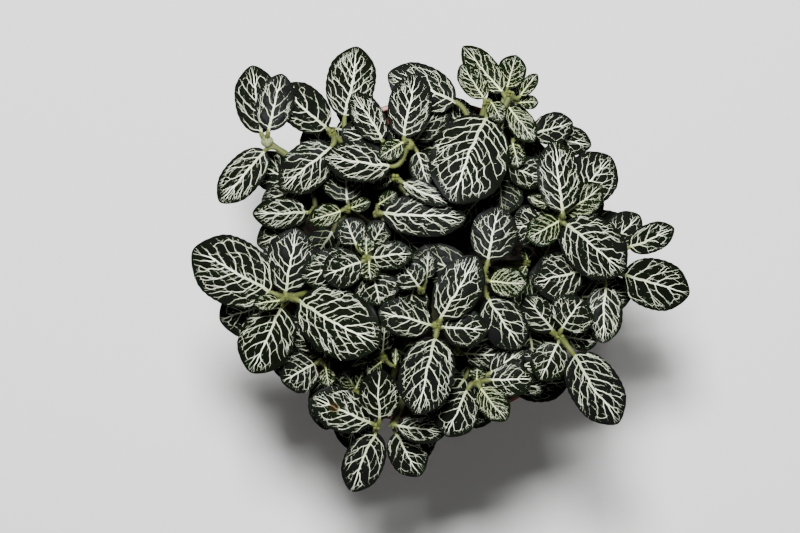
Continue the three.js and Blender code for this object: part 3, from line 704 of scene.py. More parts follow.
    def grow_lower(self, shoot: Shoot, root: np.ndarray, angles: Iterable[float],
                   stems: Sequence[tuple[int, np.ndarray]],
                   hidden: tuple[float, float] = OUT_OF_SIGHT) -> float | None:
        """Grows a blade in the first direction that is free and out of sight.

        Args:
            shoot: the shoot that it grows from.
            root: the place on the stem.
            angles: the directions to try, best first.
            stems: number and points of every stem to keep clear of.
            hidden: the least and the most of the blade that the crown may hide.

        Returns:
            The direction, or None where there is no room.
        """
        for length, width in LOWER_SIZES:
            for angle in angles:
                x, y = root[0] + LOWER_STALK * math.cos(angle), root[1] + LOWER_STALK * math.sin(angle)
                leaf = Leaf.make(len(self.leaves), shoot.number, x, y, angle, length, width, False)
                leaf.z = root[2] + LOWER_RISE
                for slope in LOWER_SLOPES:
                    leaf.slope = slope
                    if not self.above_pot(leaf):
                        continue
                    if hidden[0] <= self.hidden_share(leaf) <= hidden[1] and self.is_clear(leaf, stems):
                        shoot.leaves.append(leaf)
                        self.leaves.append(leaf)
                        self.lay()
                        return angle
        return None

    def grow_inner(self) -> None:
        """Grows single lower blades in the crown's middle, where gaps would show the soil."""
        grown = 0
        stems = [(one.number, one.stem) for one in self.shoots]
        for drop in INNER_DROPS:
            for shoot in self.shoots:
                root = shoot.stem_at(shoot.z - drop)
                inner = math.hypot(root[0], root[1]) < INNER_REACH and root[2] > LEAST_ABOVE_SOIL
                if inner and grown < INNER_LEAVES:
                    inward = math.atan2(-shoot.y, -shoot.x)
                    angle = self.grow_lower(shoot, root, fan(inward, INNER_FAN), stems, IN_THE_GAPS)
                    grown += angle is not None

    def grow_rim_shoots(self) -> None:
        """Grows short shoots just inside the rim, wherever their stems and blades find room."""
        grown = 0
        for place in (i * 2 * math.pi / RIM_PLACES for i in range(RIM_PLACES)):
            for radius, height in RIM_NODES:
                shoot = Shoot(len(self.shoots), radius * math.cos(place), radius * math.sin(place), height,
                              True, way=Way(RIM_FOOT / radius))
                if grown == RIM_SHOOTS or self.clashes(shoot, shoot.stem) > 0:
                    continue
                self.shoots.append(shoot)
                stems = [(one.number, one.stem) for one in self.shoots]
                taken: list[float] = []
                for _ in range(RIM_LEAVES):
                    free = [a for a in fan(place, RIM_FAN) if all(abs(b - a) > LEAST_FAN for b in taken)]
                    angle = self.grow_lower(shoot, shoot.stem_at(height), free, stems)
                    if angle is not None:
                        taken.append(angle)
                if shoot.leaves:
                    self.stems.append(shoot.stem)
                    grown += 1
                    break
                self.shoots.pop()

    def grow_lower_pairs(self) -> None:
        """Grows pairs of lower blades on the outer shoots, under the crown."""
        stems = [(one.number, one.stem) for one in self.shoots]
        for drop in LOWER_DROPS:
            for shoot in [one for one in self.shoots if not one.low]:
                outward = math.atan2(shoot.y, shoot.x)
                root = shoot.stem_at(shoot.z - drop)
                for side in (-1, 1):
                    if root[2] > LEAST_ABOVE_SOIL and math.hypot(root[0], root[1]) > LOWER_LEAST_RADIUS:
                        self.grow_lower(shoot, root, fan(outward + side * LOWER_SIDE, LOWER_FAN), stems)


@dataclass(frozen=True)
class VeinHabit:
    """How the veins of a blade are drawn, in millimetres.

    margin is the dark edge that the veins leave free, spacing that of the side veins beside it, arch
    how far inside their ends the arches run, cell the distance between links and band the width of
    a gap that is rarely bridged. forks says how often a side vein forks once, and how often it
    forks twice. The rest are widths.
    """

    margin: float
    spacing: float
    arch: float
    cell: float
    band: float
    midrib: float
    trunk: float
    arm: float
    twig: float
    forks: tuple[float, float]


MATURE = VeinHabit(margin=0.6, spacing=3.6, arch=1.8, cell=3.1, band=4.0, midrib=1.22, trunk=0.455,
                   arm=0.295, twig=0.212, forks=(0.52, 0.14))
YOUNG = VeinHabit(margin=0.5, spacing=2.2, arch=1.0, cell=1.8, band=2.0, midrib=0.95, trunk=0.35,
                  arm=0.25, twig=0.19, forks=(0.6, 0.2))


class Kind(Enum):
    """A kind of vein: which width of the habit it has, its shares of it at both ends, and its order.

    The order runs from 0 for the midrib to 1 for the last twigs. The midrib ends as wide as an arm.
    """

    MIDRIB = ("midrib", 1.0, 0.0, 0.0)
    TRUNK = ("trunk", 1.0, 0.82, 0.25)
    ARM = ("arm", 1.0, 0.82, 0.5)
    LINK = ("twig", 1.0, 0.92, 0.75)
    ARCH = ("twig", 1.1, 1.1, 0.75)
    BETWEEN = ("twig", 1.15, 0.6, 0.75)
    OPEN = ("twig", 0.85, 0.5, 0.9)
    TIP = ("twig", 1.0, 0.6, 1.0)
    SPUR = ("twig", 0.9, 0.5, 1.0)
    END = ("twig", 0.95, 0.55, 1.0)
    BARB = ("twig", 0.7, 0.4, 1.0)
    SPECK = ("twig", 0.8, 0.6, 1.0)

    @property
    def order(self) -> float:
        """0 for the midrib up to 1 for the last twigs."""
        return self.value[3]

    def widths(self, habit: VeinHabit) -> tuple[float, float]:
        """The widths at both ends.

        Args:
            habit: The habit of the leaf's age.

        Returns:
            The first end's width, then the other's.
        """
        name, start, end, _ = self.value
        width = getattr(habit, name)
        return start * width, habit.arm if self is Kind.MIDRIB else end * width


# The net as a whole. Lengths are for a blade of the reference length; pairs are ranges to draw from
REFERENCE_LENGTH = 28.0
NET_GROWTH = 0.35
TINY = 1e-9
VEIN_STEP = 0.6
VEIN_WANDER = 0.10
BEND = 0.34
BEND_WAVES = (4.4, 8.0)
BEND_COUNT = 4
BEND_FULL = 0.4
OPENNESS = (0.86, 1.18)
LINKED = (0.65, 0.98)

# Midrib and side veins: where they start and fork, as shares of the blade or of the way out
MIDRIB_START = -0.3
MIDRIB_END = 0.88
TIP_SHORT = 0.3
TIP_SPREAD = 0.09
ROOT_START = 0.01
ROOT_SPREAD = 0.62
ROOT_CROWD = 0.2
ROOT_POWER = 12
BASE_INSET = 0.6
SIDE_BOW = 0.12
MARGIN_ENDS = (0.07, 0.994)
MARGIN_PLACES = 80
LEAST_SIDE_VEINS = 4
LEAST_ARCH = 0.45
SIDE_SHIFT = (-0.22, 0.22)
SHARE_SHIFT = (-0.12, 0.12)
FORK_SHIFT = (-0.1, 0.1)
FORK_PLACE = (0.50, 0.76)
SPLIT_PLACE = (0.3, 0.6)
END_PLACE = (0.95, 1.03)

# Links and short veins between the side veins
LINK_START = 0.06
LINK_FIRST = (0.5, 1.1)
LINK_LAST = 0.3
LINK_SLANT = (-0.3, 0.45)
LINK_STEPS = (0.8, 1.4)
LINK_LEAST = 0.35
LINK_BULGE = (-0.02, 0.03)
OPEN_CHANCE = 0.6
OPEN_REACH = (0.25, 0.45)
OPEN_LEAN = 0.05
BETWEEN_PLACE = (0.4, 0.6)
BETWEEN_SHIFT = (-0.2, 0.2)
BETWEEN_REACH = (0.18, 0.42)

# Arches and spurs near the margin, barbs and specks
ARCH_CHANCE = 0.65
ARCH_BULGE = (0.2, 0.45)
SPUR_SPACING = 0.85
SPUR_SHIFT = (-0.2, 0.2)
SPUR_LEAN = 0.01
SPUR_REACH = (0.94, 1.01)
PAIR_CHANCE = 0.4
PAIR_SPREAD = (0.15, 0.35)
PAIR_REACH = (0.92, 1.02)
BARBED_ORDER = 0.8
BARB_SPACING = 3.0
BARB_TURN = (0.6, 1.1)
BARB_SIZE = (0.5, 1.1)
SPECKS = 0.03
SPECK_ALONG = (0.1, 0.92)
SPECK_OUT = (0.2, 0.95)
SPECK_SIZE = (0.15, 0.4)

# The section of a vein: across as a share of half its width, height as a share of its rise, groove
VEIN_RISE = 0.09
VEIN_SINK = 0.05
STOUT = 0.6
ROOF = ((1.0, 0.0, 0.0), (0.0, 1.0, 0.0), (-1.0, 0.0, 0.0))
GROOVED = ((1.0, 0.0, 0.0), (0.5, 1.0, 0.0), (0.0, 0.45, 1.0), (-0.5, 1.0, 0.0), (-1.0, 0.0, 0.0))

# The blade's fine form
POINT_START = 0.7
POINT_DEPTH = 0.34
PILLOW = 0.2
PILLOW_REACH = 0.7
PILLOW_FALL = 6
GREEN_REACH = 0.45
LAMINA_STEP = 0.6
LAMINA_THICK = 0.45
LAMINA_THINNING = 0.7
LAMINA_ENDS = (0.002, 0.9985)
LAMINA_EVEN = 0.6
LEAST_ROWS = 8
LEAST_COLUMNS = 7
UNDER_COLUMNS = 7
LEAST_HALF = 0.3
NOTCH_DEPTH = 0.012
NOTCH_PITCH = 2.6

# A dry spot on a midrib: where it is seen, its radius, and how dry its middle is
DRY_X = -33.5
DRY_Y = -50.0
DRY_RADIUS = 3.0
DRY_MOST = 4
HAIR_RADIUS = 0.035
HAIR_LENGTHS = (0.3, 0.65)
HAIR_DISORDER = 0.25
HAIR_TURNS = (0.0, 2.1, 4.2)
# Painted shade on veins and stems: it starts this far below the crown's surface and is full this much deeper
SHADE_START_DEPTH = 3.5
SHADE_DEPTH_RANGE = 13.0

# A place in the net: how far along the margin its side vein ends, and the share of the way out to it
Knot = tuple[float, float]


def edge(t: Any) -> Any:
    """The outline with the slight point that a real blade's tip has."""
    past = np.maximum(0, np.asarray(t, float) - POINT_START) / (1 - POINT_START)
    return outline(t) * (1 - POINT_DEPTH * past**2)


def shade_by_depth(points: np.ndarray) -> np.ndarray:
    """How much painted shade points get for lying below the crown's surface: 0 near it, 1 at the full
    painted shade.
    """
    depth = crown_height(points[:, 0], points[:, 1]) - points[:, 2]
    return np.clip((depth - SHADE_START_DEPTH) / SHADE_DEPTH_RANGE, 0, 1)


def unit(vectors: np.ndarray) -> np.ndarray:
    """The vectors at length 1."""
    return vectors / np.maximum(np.linalg.norm(vectors, axis=1), TINY)[:, None]


def running(steps: np.ndarray) -> np.ndarray:
    """How far along each place lies, from the steps between them."""
    return np.concatenate(((0.0,), np.cumsum(steps)))


@dataclass
class Vein:
    """One vein: its line in the blade's plane, its width at both ends and its order."""

    line: np.ndarray
    width: float
    end_width: float
    order: float

    @property
    def widths(self) -> np.ndarray:
        """The width at each point."""
        return np.linspace(self.width, self.end_width, len(self.line))


@dataclass
class Branch:
    """A side vein with its forks, as steps from knot to knot, and its ends at the arches."""

    steps: list[tuple[Knot, Knot]] = field(default_factory=list)
    ends: list[Knot] = field(default_factory=list)

    def crossings(self, r: float) -> list[float]:
        """Where its veins stand at a share of the way out, the one nearest the base first."""
        crossed = [(a, b) for a, b in self.steps if a[1] <= r <= b[1]]
        return sorted(a[0] + (b[0] - a[0]) * (r - a[1]) / (b[1] - a[1]) for a, b in crossed)


@dataclass
class VeinNet:
    """Draws the net of veins of one leaf in its own plane, from its base along +u.

    Side veins leave the midrib at an acute angle and fork on their way out. Arches join their ends
    near the margin, short spurs go on from there, and links cross the long cells in between.
    """

    leaf: Leaf
    rng: np.random.Generator
    veins: list[Vein] = field(default_factory=list)

    def __post_init__(self) -> None:
        """Takes the habit and the scale of the leaf's age and size, and draws how its veins bend."""
        self.habit = YOUNG if self.leaf.young else MATURE
        self.scale = (self.leaf.length / REFERENCE_LENGTH) ** NET_GROWTH
        self.inset = self.habit.margin * self.scale
        self.coarse = self.habit.spacing / MATURE.spacing * self.scale
        self.openness = float(self.rng.uniform(*OPENNESS)) * self.scale
        self.linked = float(self.rng.uniform(*LINKED))
        turn = self.rng.uniform(0, 2 * math.pi, BEND_COUNT)
        pitch = 2 * math.pi / (self.rng.uniform(*BEND_WAVES, BEND_COUNT) * self.coarse)
        self.waves = np.stack((np.cos(turn), np.sin(turn))) * pitch
        self.phases = self.rng.uniform(0, 2 * math.pi, BEND_COUNT)

    def span(self, t: Any) -> tuple[Any, Any, Any]:
        """Where the side vein that ends at t leaves the midrib, and how far along and out it runs.

        Args:
            t: The share of the way from base to tip.

        Returns:
            Where it starts on the midrib, and its reach along and out.
        """
        root = self.leaf.length * (ROOT_START + ROOT_SPREAD * t**2 + ROOT_CROWD * t**ROOT_POWER)
        along = BASE_INSET * self.inset + t * (self.leaf.length - (1 + BASE_INSET) * self.inset) - root
        return root, along, (self.leaf.half - self.inset) * edge(t)

    def place(self, t: Any, r: Any, side: int) -> np.ndarray:
        """The place at a share r of the way out along the side vein that ends at t.

        Args:
            t: Where the side vein ends along the blade.
            r: The share of the way out.
            side: 1 or -1, the half of the blade.

        Returns:
            The place in the blade's plane.
        """
        t, r = np.broadcast_arrays(np.asarray(t, float), r)
        root, along, out = self.span(t)
        return np.stack((root + along * (r - SIDE_BOW * 4 * r * (1 - r)), side * out * r), axis=-1)

    def apart(self, side: int, start: Knot, end: Knot) -> float:
        """How far two knots lie apart."""
        ends = self.place((start[0], end[0]), np.array((start[1], end[1])), side)
        return float(np.linalg.norm(ends[1] - ends[0]))

    def reach(self, t: float) -> float:
        """How long the side vein is that ends at t."""
        _, along, out = self.span(t)
        return math.hypot(along, out)

    def arch_share(self, t: float) -> float:
        """The share of the way out at which the arches run."""
        return max(LEAST_ARCH, 1 - self.habit.arch * self.scale / self.reach(t))

    def add(self, kind: Kind, line: np.ndarray) -> None:
        """Adds a vein of a kind that wanders a little from a line between its ends.

        Args:
            kind: The kind of vein.
            line: The line's points.
        """
        walk = np.cumsum(self.rng.normal(0, VEIN_WANDER * self.scale, line.shape), axis=0)
        walk -= walk[0] + np.linspace(0, 1, len(line))[:, None] * (walk[-1] - walk[0])
        width, end_width = kind.widths(self.habit)
        self.veins.append(Vein(line + walk, width * self.scale, end_width * self.scale, kind.order))

    def straight(self, kind: Kind, start: Sequence[float], end: Sequence[float]) -> None:
        """Adds a straight vein between two places in the blade's plane.

        Args:
            kind: The kind of vein.
            start: Its first place.
            end: Its last place.
        """
        start, end = np.array(start, float), np.array(end, float)
        count = max(3, math.ceil(float(np.linalg.norm(end - start)) / VEIN_STEP) + 1)
        self.add(kind, start + np.linspace(0, 1, count)[:, None] * (end - start))

    def follow(self, kind: Kind, side: int, start: Knot, end: Knot, bulge: float = 0.0) -> None:
        """Adds a vein from knot to knot, which bulges towards the margin by a share of the way out.

        Args:
            kind: The kind of vein.
            side: 1 or -1, the half of the blade.
            start: Its first knot.
            end: Its last knot.
            bulge: That share, in the middle.
        """
        count = max(3, math.ceil(self.apart(side, start, end) * (1 + bulge) / VEIN_STEP) + 1)
        q = np.linspace(0, 1, count)
        r = start[1] + (end[1] - start[1]) * q + bulge * np.sin(math.pi * q)
        self.add(kind, self.place(start[0] + (end[0] - start[0]) * q, r, side))

    def bend(self) -> None:
        """Moves all veins by one smooth field, so that they bend together where they meet."""
        size = BEND * self.coarse / math.sqrt(2)
        for vein in self.veins:
            swing = np.sin(vein.line @ self.waves + self.phases)
            shift = np.stack((swing[:, 0] + swing[:, 1], swing[:, 2] + swing[:, 3]), axis=1)
            aside = np.minimum(1.0, np.abs(vein.line[:, 1]) / (BEND_FULL * self.leaf.half))
            vein.line = vein.line + size * shift * aside[:, None]

    def draw(self) -> list[Vein]:
        """Draws the midrib and both sides, bends them, and adds the barbs and the specks.

        Returns:
            All the veins, the midrib first.
        """
        length, top = self.leaf.length, (MIDRIB_END * self.leaf.length, 0)
        self.straight(Kind.MIDRIB, (MIDRIB_START, 0), top)
        for turn in (-1, 0, 1):
            short = self.inset * (1 + TIP_SHORT * abs(turn))
            self.straight(Kind.TIP, top, (length - short, turn * TIP_SPREAD * self.leaf.half))
        for side in (1, -1):
            self.draw_side(side)
        self.bend()
        self.draw_barbs()
        self.draw_specks()
        return self.veins

    def draw_side(self, side: int) -> None:
        """Draws the side veins, links, arches and spurs of one half.

        Args:
            side: 1 or -1, the half of the blade.
        """
        t = np.linspace(*MARGIN_ENDS, MARGIN_PLACES)
        ends = self.place(t, 1.0, side)
        course = unit(ends - self.place(t, 0.0, side))
        step = np.diff(ends, axis=0)
        run = running(np.abs(step[:, 0] * course[1:, 1] - step[:, 1] * course[1:, 0]))
        count = max(LEAST_SIDE_VEINS, round(run[-1] / (self.habit.spacing * self.openness)))
        even = np.arange(count + 1) / count
        even[1:-1] += self.rng.uniform(*SIDE_SHIFT, count - 1) / count
        bounds = np.interp(even * run[-1], run, t)
        branches = [self.draw_branch(side, low, high) for low, high in zip(bounds, bounds[1:])]
        for low, high in zip(branches, branches[1:]):
            self.bridge(side, low, high)
            self.draw_between(side, low, high)
        for branch in branches:
            self.bridge(side, branch, branch)
        self.draw_arches(side, [end for branch in branches for end in branch.ends])

    def draw_branch(self, side: int, low: float, high: float) -> Branch:
        """Draws the side vein that serves the margin from low to high, and gives it back.

        Args:
            side: 1 or -1, the half of the blade.
            low: The end of that stretch nearer the base.
            high: The end nearer the tip.

        Returns:
            The side vein with its forks.
        """
        middle = (low + high) / 2
        chances = (1 - sum(self.habit.forks), 1 - self.habit.forks[1])
        count = 1 + int(np.searchsorted(chances, self.rng.random()))
        share = (np.arange(count) + 0.5 + self.rng.uniform(*SHARE_SHIFT, count)) / count
        fork = (middle + self.rng.uniform(*FORK_SHIFT) * (high - low),
                self.arch_share(middle) * self.rng.uniform(*FORK_PLACE))
        branch = Branch([((middle, 0.0), fork)])
        self.follow(Kind.TRUNK, side, (middle, 0.0), fork)
        self.split(side, fork, (low + share * (high - low)).tolist(), branch)
        return branch

    def split(self, side: int, fork: Knot, targets: list[float], branch: Branch) -> None:
        """Forks a vein at a knot until each target along the margin has a vein of its own.

        Args:
            side: 1 or -1, the half of the blade.
            fork: The knot that it forks at.
            targets: Where the new veins end along the blade.
            branch: The side vein that they belong to.
        """
        cut = int(self.rng.integers(1, max(2, len(targets))))
        for group in filter(None, (targets[:cut], targets[cut:])):
            middle = sum(group) / len(group)
            arch = self.arch_share(middle)
            if len(group) == 1:
                knot = (middle, arch * self.rng.uniform(*END_PLACE))
                branch.ends.append(knot)
            else:
                knot = (middle, fork[1] + self.rng.uniform(*SPLIT_PLACE) * (arch - fork[1]))
            branch.steps.append((fork, knot))
            self.follow(Kind.ARM, side, fork, knot)
            if len(group) > 1:
                self.split(side, knot, group, branch)

    def bridge(self, side: int, low: Branch, high: Branch) -> None:
        """Crosses the cells between two side veins, or between the arms of one, with links.

        Args:
            side: 1 or -1, the half of the blade.
            low: The one nearer the base.
            high: The one nearer the tip.
        """
        t = (low.ends[-1][0] + high.ends[0][0]) / 2
        step = self.habit.cell * self.openness / self.reach(t)
        r = LINK_START + self.rng.uniform(*LINK_FIRST) * step
        while r < self.arch_share(t) - LINK_LAST * step:
            other = min(self.arch_share(t), r + self.rng.uniform(*LINK_SLANT) * step)
            near, far = low.crossings(r), high.crossings(other)
            drawn = self.rng.random() < self.linked
            if drawn and low is high and len(near) > 1 and len(far) == len(near):
                self.link(side, (near[0], r), (far[1], other))
            elif drawn and low is not high and near and far:
                self.link(side, (near[-1], r), (far[0], other))
            r += step * self.rng.uniform(*LINK_STEPS)

    def draw_between(self, side: int, low: Branch, high: Branch) -> None:
        """Starts a thin vein from the midrib between two side veins that leave it far apart.

        Args:
            side: 1 or -1, the half of the blade.
            low: The one nearer the base.
            high: The one nearer the tip.
        """
        near, far = low.steps[0][0][0], high.steps[0][0][0]
        t = near + self.rng.uniform(*BETWEEN_PLACE) * (far - near)
        gap = float(self.span(far)[0] - self.span(near)[0])
        if gap > self.habit.cell * self.scale and self.rng.random() < self.linked:
            end_t = t + self.rng.uniform(*BETWEEN_SHIFT) * (far - near)
            self.follow(Kind.BETWEEN, side, (t, 0.0), (end_t, self.rng.uniform(*BETWEEN_REACH)))

    def link(self, side: int, start: Knot, end: Knot) -> None:
        """Links two knots, or leaves a wide gap with two twigs that end free.

        Args:
            side: 1 or -1, the half of the blade.
            start: The first knot.
            end: The second knot.
        """
        gap = self.apart(side, start, end)
        if gap < LINK_LEAST * self.habit.cell * self.scale:
            return
        if gap > self.habit.band * self.scale and self.rng.random() < OPEN_CHANCE:
            for a, b in ((start, end), (end, start)):
                share = self.rng.uniform(*OPEN_REACH)
                free = (a[0] + share * (b[0] - a[0]), a[1] + share * (b[1] - a[1]) + OPEN_LEAN)
                self.follow(Kind.OPEN, side, a, free)
            return
        self.follow(Kind.LINK, side, start, end, self.rng.uniform(*LINK_BULGE))

    def draw_arches(self, side: int, ends: list[Knot]) -> None:
        """Joins the ends of the side veins with arches, and lets each end go on to the margin.

        Args:
            side: 1 or -1, the half of the blade.
            ends: The knots that the side veins end at.
        """
        for a, b in zip(ends, ends[1:]):
            if self.rng.random() < ARCH_CHANCE:
                self.draw_arch(side, a, b)
        pitch = (ends[-1][0] - ends[0][0]) / (len(ends) - 1)
        for t, r in ends:
            for turn in (-1, 1) if self.rng.random() < PAIR_CHANCE else (0,):
                end_t = t + turn * self.rng.uniform(*PAIR_SPREAD) * pitch
                self.follow(Kind.END, side, (t, r), (end_t, self.rng.uniform(*PAIR_REACH)))

    def draw_arch(self, side: int, a: Knot, b: Knot) -> None:
        """Draws one arch, with spurs from it to the margin.

        Args:
            side: 1 or -1, the half of the blade.
            a: The knot at one end.
            b: The knot at the other.
        """
        bulge = self.rng.uniform(*ARCH_BULGE) * (1 - (a[1] + b[1]) / 2)
        self.follow(Kind.ARCH, side, a, b, bulge)
        count = round(self.apart(side, a, b) / (SPUR_SPACING * self.habit.cell * self.scale))
        shift = self.rng.uniform(*SPUR_SHIFT, max(0, count - 1))
        for q in (np.arange(1, count) + shift) / max(1, count):
            t = a[0] + q * (b[0] - a[0])
            r = a[1] + q * (b[1] - a[1]) + bulge * math.sin(math.pi * q)
            self.follow(Kind.SPUR, side, (t, r), (t + SPUR_LEAN, self.rng.uniform(*SPUR_REACH)))

    def draw_specks(self) -> None:
        """Adds tiny pale specks that lie free between the veins."""
        for _ in range(round(SPECKS * self.leaf.length * self.leaf.half)):
            side = int(self.rng.choice((-1, 1)))
            spot = self.place(self.rng.uniform(*SPECK_ALONG), self.rng.uniform(*SPECK_OUT), side)
            turn, size = self.rng.uniform(0, math.pi), self.rng.uniform(*SPECK_SIZE) * self.scale
            self.straight(Kind.SPECK, spot, spot + size * np.array((math.cos(turn), math.sin(turn))))

    def draw_barbs(self) -> None:
        """Adds short barbs along the stouter veins."""
        for vein in self.veins[1:]:
            if vein.order > BARBED_ORDER:
                continue
            for _ in range(int(self.rng.poisson(len(vein.line) * VEIN_STEP / BARB_SPACING))):
                i = int(self.rng.integers(0, len(vein.line) - 1))
                along, aside = vein.line[i + 1] - vein.line[i]
                turn = self.rng.choice((-1, 1)) * self.rng.uniform(*BARB_TURN)
                way = np.array((along * math.cos(turn) - aside * math.sin(turn),
                                along * math.sin(turn) + aside * math.cos(turn)))
                size = self.rng.uniform(*BARB_SIZE) * self.scale / max(TINY, math.hypot(*way))
                self.straight(Kind.BARB, vein.line[i], vein.line[i] + size * way)


# The tint of a piece that makes no use of it, and the least radii that close tubes and turned bodies
PLAIN = (0.0, 0.0, 0.0, 1.0)
PINCH_RADIUS = 0.02
AXIS_RADIUS = 0.001
STEEP = 0.8


@dataclass
class MeshParts:
    """Collects vertices, faces and a tint for each vertex, in millimetres."""

    name: str
    points: list[np.ndarray] = field(default_factory=list)
    faces: list[np.ndarray] = field(default_factory=list)
    tints: list[np.ndarray] = field(default_factory=list)
    count: int = 0

    def add(self, points: np.ndarray, faces: np.ndarray, tints: Any = PLAIN) -> None:
        """Adds vertices, faces that count from the first of them, and their tints.

        Args:
            points: The vertices.
            faces: The vertex numbers of each face.
            tints: The tint of each vertex, or of all.
        """
        self.points.append(np.asarray(points, float))
        self.faces.append(np.asarray(faces, int) + self.count)
        self.tints.append(np.broadcast_to(tints, (len(points), 4)))
        self.count += len(points)

    def build(self, sharp_angle: float = 60.0) -> bpy.types.Object:
        """Makes the Blender object.

        Args:
            sharp_angle: edges that turn by more than this many degrees are shaded sharp.

        Returns:
            The object, at the origin, in metres, linked to the scene.
        """
        points = np.concatenate(self.points) * MM
        faces = [row for block in self.faces for row in block.tolist()]
        mesh = bpy.data.meshes.new(self.name)
        mesh.from_pydata(points.tolist(), [], faces)
        mesh.update()
        mesh.shade_smooth()
        mesh.set_sharp_from_angle(angle=math.radians(sharp_angle))
        tint = mesh.color_attributes.new("tint", "FLOAT_COLOR", "POINT")
        tint.data.foreach_set("color", np.concatenate(self.tints).astype(np.float32).ravel())
        piece = bpy.data.objects.new(self.name, mesh)
        bpy.context.scene.collection.objects.link(piece)
        return piece


def grid_faces(rows: int, columns: int, first: int = 0) -> np.ndarray:
    """The quads of a grid of vertices that are numbered row by row.

    Args:
        rows: How many rows there are.
        columns: How many vertices a row has.
        first: The number of the first vertex.

    Returns:
        The vertex numbers of each quad.
    """
    i, j = np.meshgrid(np.arange(rows - 1), np.arange(columns - 1), indexing="ij")
    a = (first + i * columns + j).ravel()
    return np.stack((a, a + columns, a + columns + 1, a + 1), axis=1)


def ring_faces(rings: int, sides: int) -> np.ndarray:
    """The quads between rings of vertices that are numbered ring by ring.

    Args:
        rings: How many rings there are.
        sides: How many vertices a ring has.

    Returns:
        The vertex numbers of each quad.
    """
    i, j = np.meshgrid(np.arange(rings - 1), np.arange(sides), indexing="ij")
    a, b = (i * sides + j).ravel(), (i * sides + (j + 1) % sides).ravel()
    return np.stack((a, b, b + sides, a + sides), axis=1)


def tube(points: np.ndarray, radii: np.ndarray, sides: int) -> tuple[np.ndarray, np.ndarray]:
    """A tube along a line, with closed ends.

    Args:
        points: the line, n by 3.
        radii: the radius at each point.
        sides: the number of sides.

    Returns:
        Vertices and quads. The ends are pinched shut by rings of almost no radius.
    """
    points = np.vstack((points[:1], points, points[-1:]))
    radii = np.concatenate(((PINCH_RADIUS,), radii, (PINCH_RADIUS,)))
    along = unit(np.gradient(points, axis=0))
    guide = np.array((0.0, 0.0, 1.0) if abs(along[len(along) // 2, 2]) < STEEP else (1.0, 0.0, 0.0))
    side = unit(np.cross(along, guide))
    up = np.cross(side, along)
    turn = np.arange(sides) * 2 * math.pi / sides
    ring = side[:, None] * np.cos(turn)[None, :, None] + up[:, None] * np.sin(turn)[None, :, None]
    return (points[:, None] + ring * radii[:, None, None]).reshape(-1, 3), ring_faces(len(points), sides)


def turned(profile: Sequence[Sequence[float]], sides: int) -> tuple[np.ndarray, np.ndarray]:
    """A body of revolution about Z. Profile points at radius 0 close it.

    Args:
        profile: The radius and height of each point.
        sides: How many sides the body has.

    Returns:
        The vertices and the faces.
    """
    rows = np.array(profile, float)
    rows[:, 0] = np.maximum(rows[:, 0], AXIS_RADIUS)
    turn = np.arange(sides) * 2 * math.pi / sides
    points = np.stack((rows[:, 0, None] * np.cos(turn), rows[:, 0, None] * np.sin(turn),
                       np.repeat(rows[:, 1, None], sides, axis=1)), axis=-1).reshape(-1, 3)
    return points, ring_faces(len(rows), sides)


def hairs(roots: np.ndarray, ways: np.ndarray, rng: np.random.Generator) -> tuple[np.ndarray, np.ndarray]:
    """A fine pointed hair at each root.

    Args:
        roots: where the hairs stand, n by 3.
        ways: where they point to, n by 3.
        rng: for their lengths and a little disorder.

    Returns:
        Vertices and triangles.
    """
    ways = unit(ways + rng.normal(0, HAIR_DISORDER, ways.shape))
    side = unit(np.cross(ways, rng.normal(0, 1, ways.shape)))
    other = np.cross(ways, side)
    feet = [roots + HAIR_RADIUS * (math.cos(turn) * side + math.sin(turn) * other) for turn in HAIR_TURNS]
    tips = roots + ways * rng.uniform(*HAIR_LENGTHS, len(roots))[:, None]
    corners = np.array(((0, 1, 3), (1, 2, 3), (2, 0, 3)))
    faces = 4 * np.arange(len(roots))[:, None, None] + corners[None]
    return np.stack((*feet, tips), axis=1).reshape(-1, 3), faces.reshape(-1, 3)


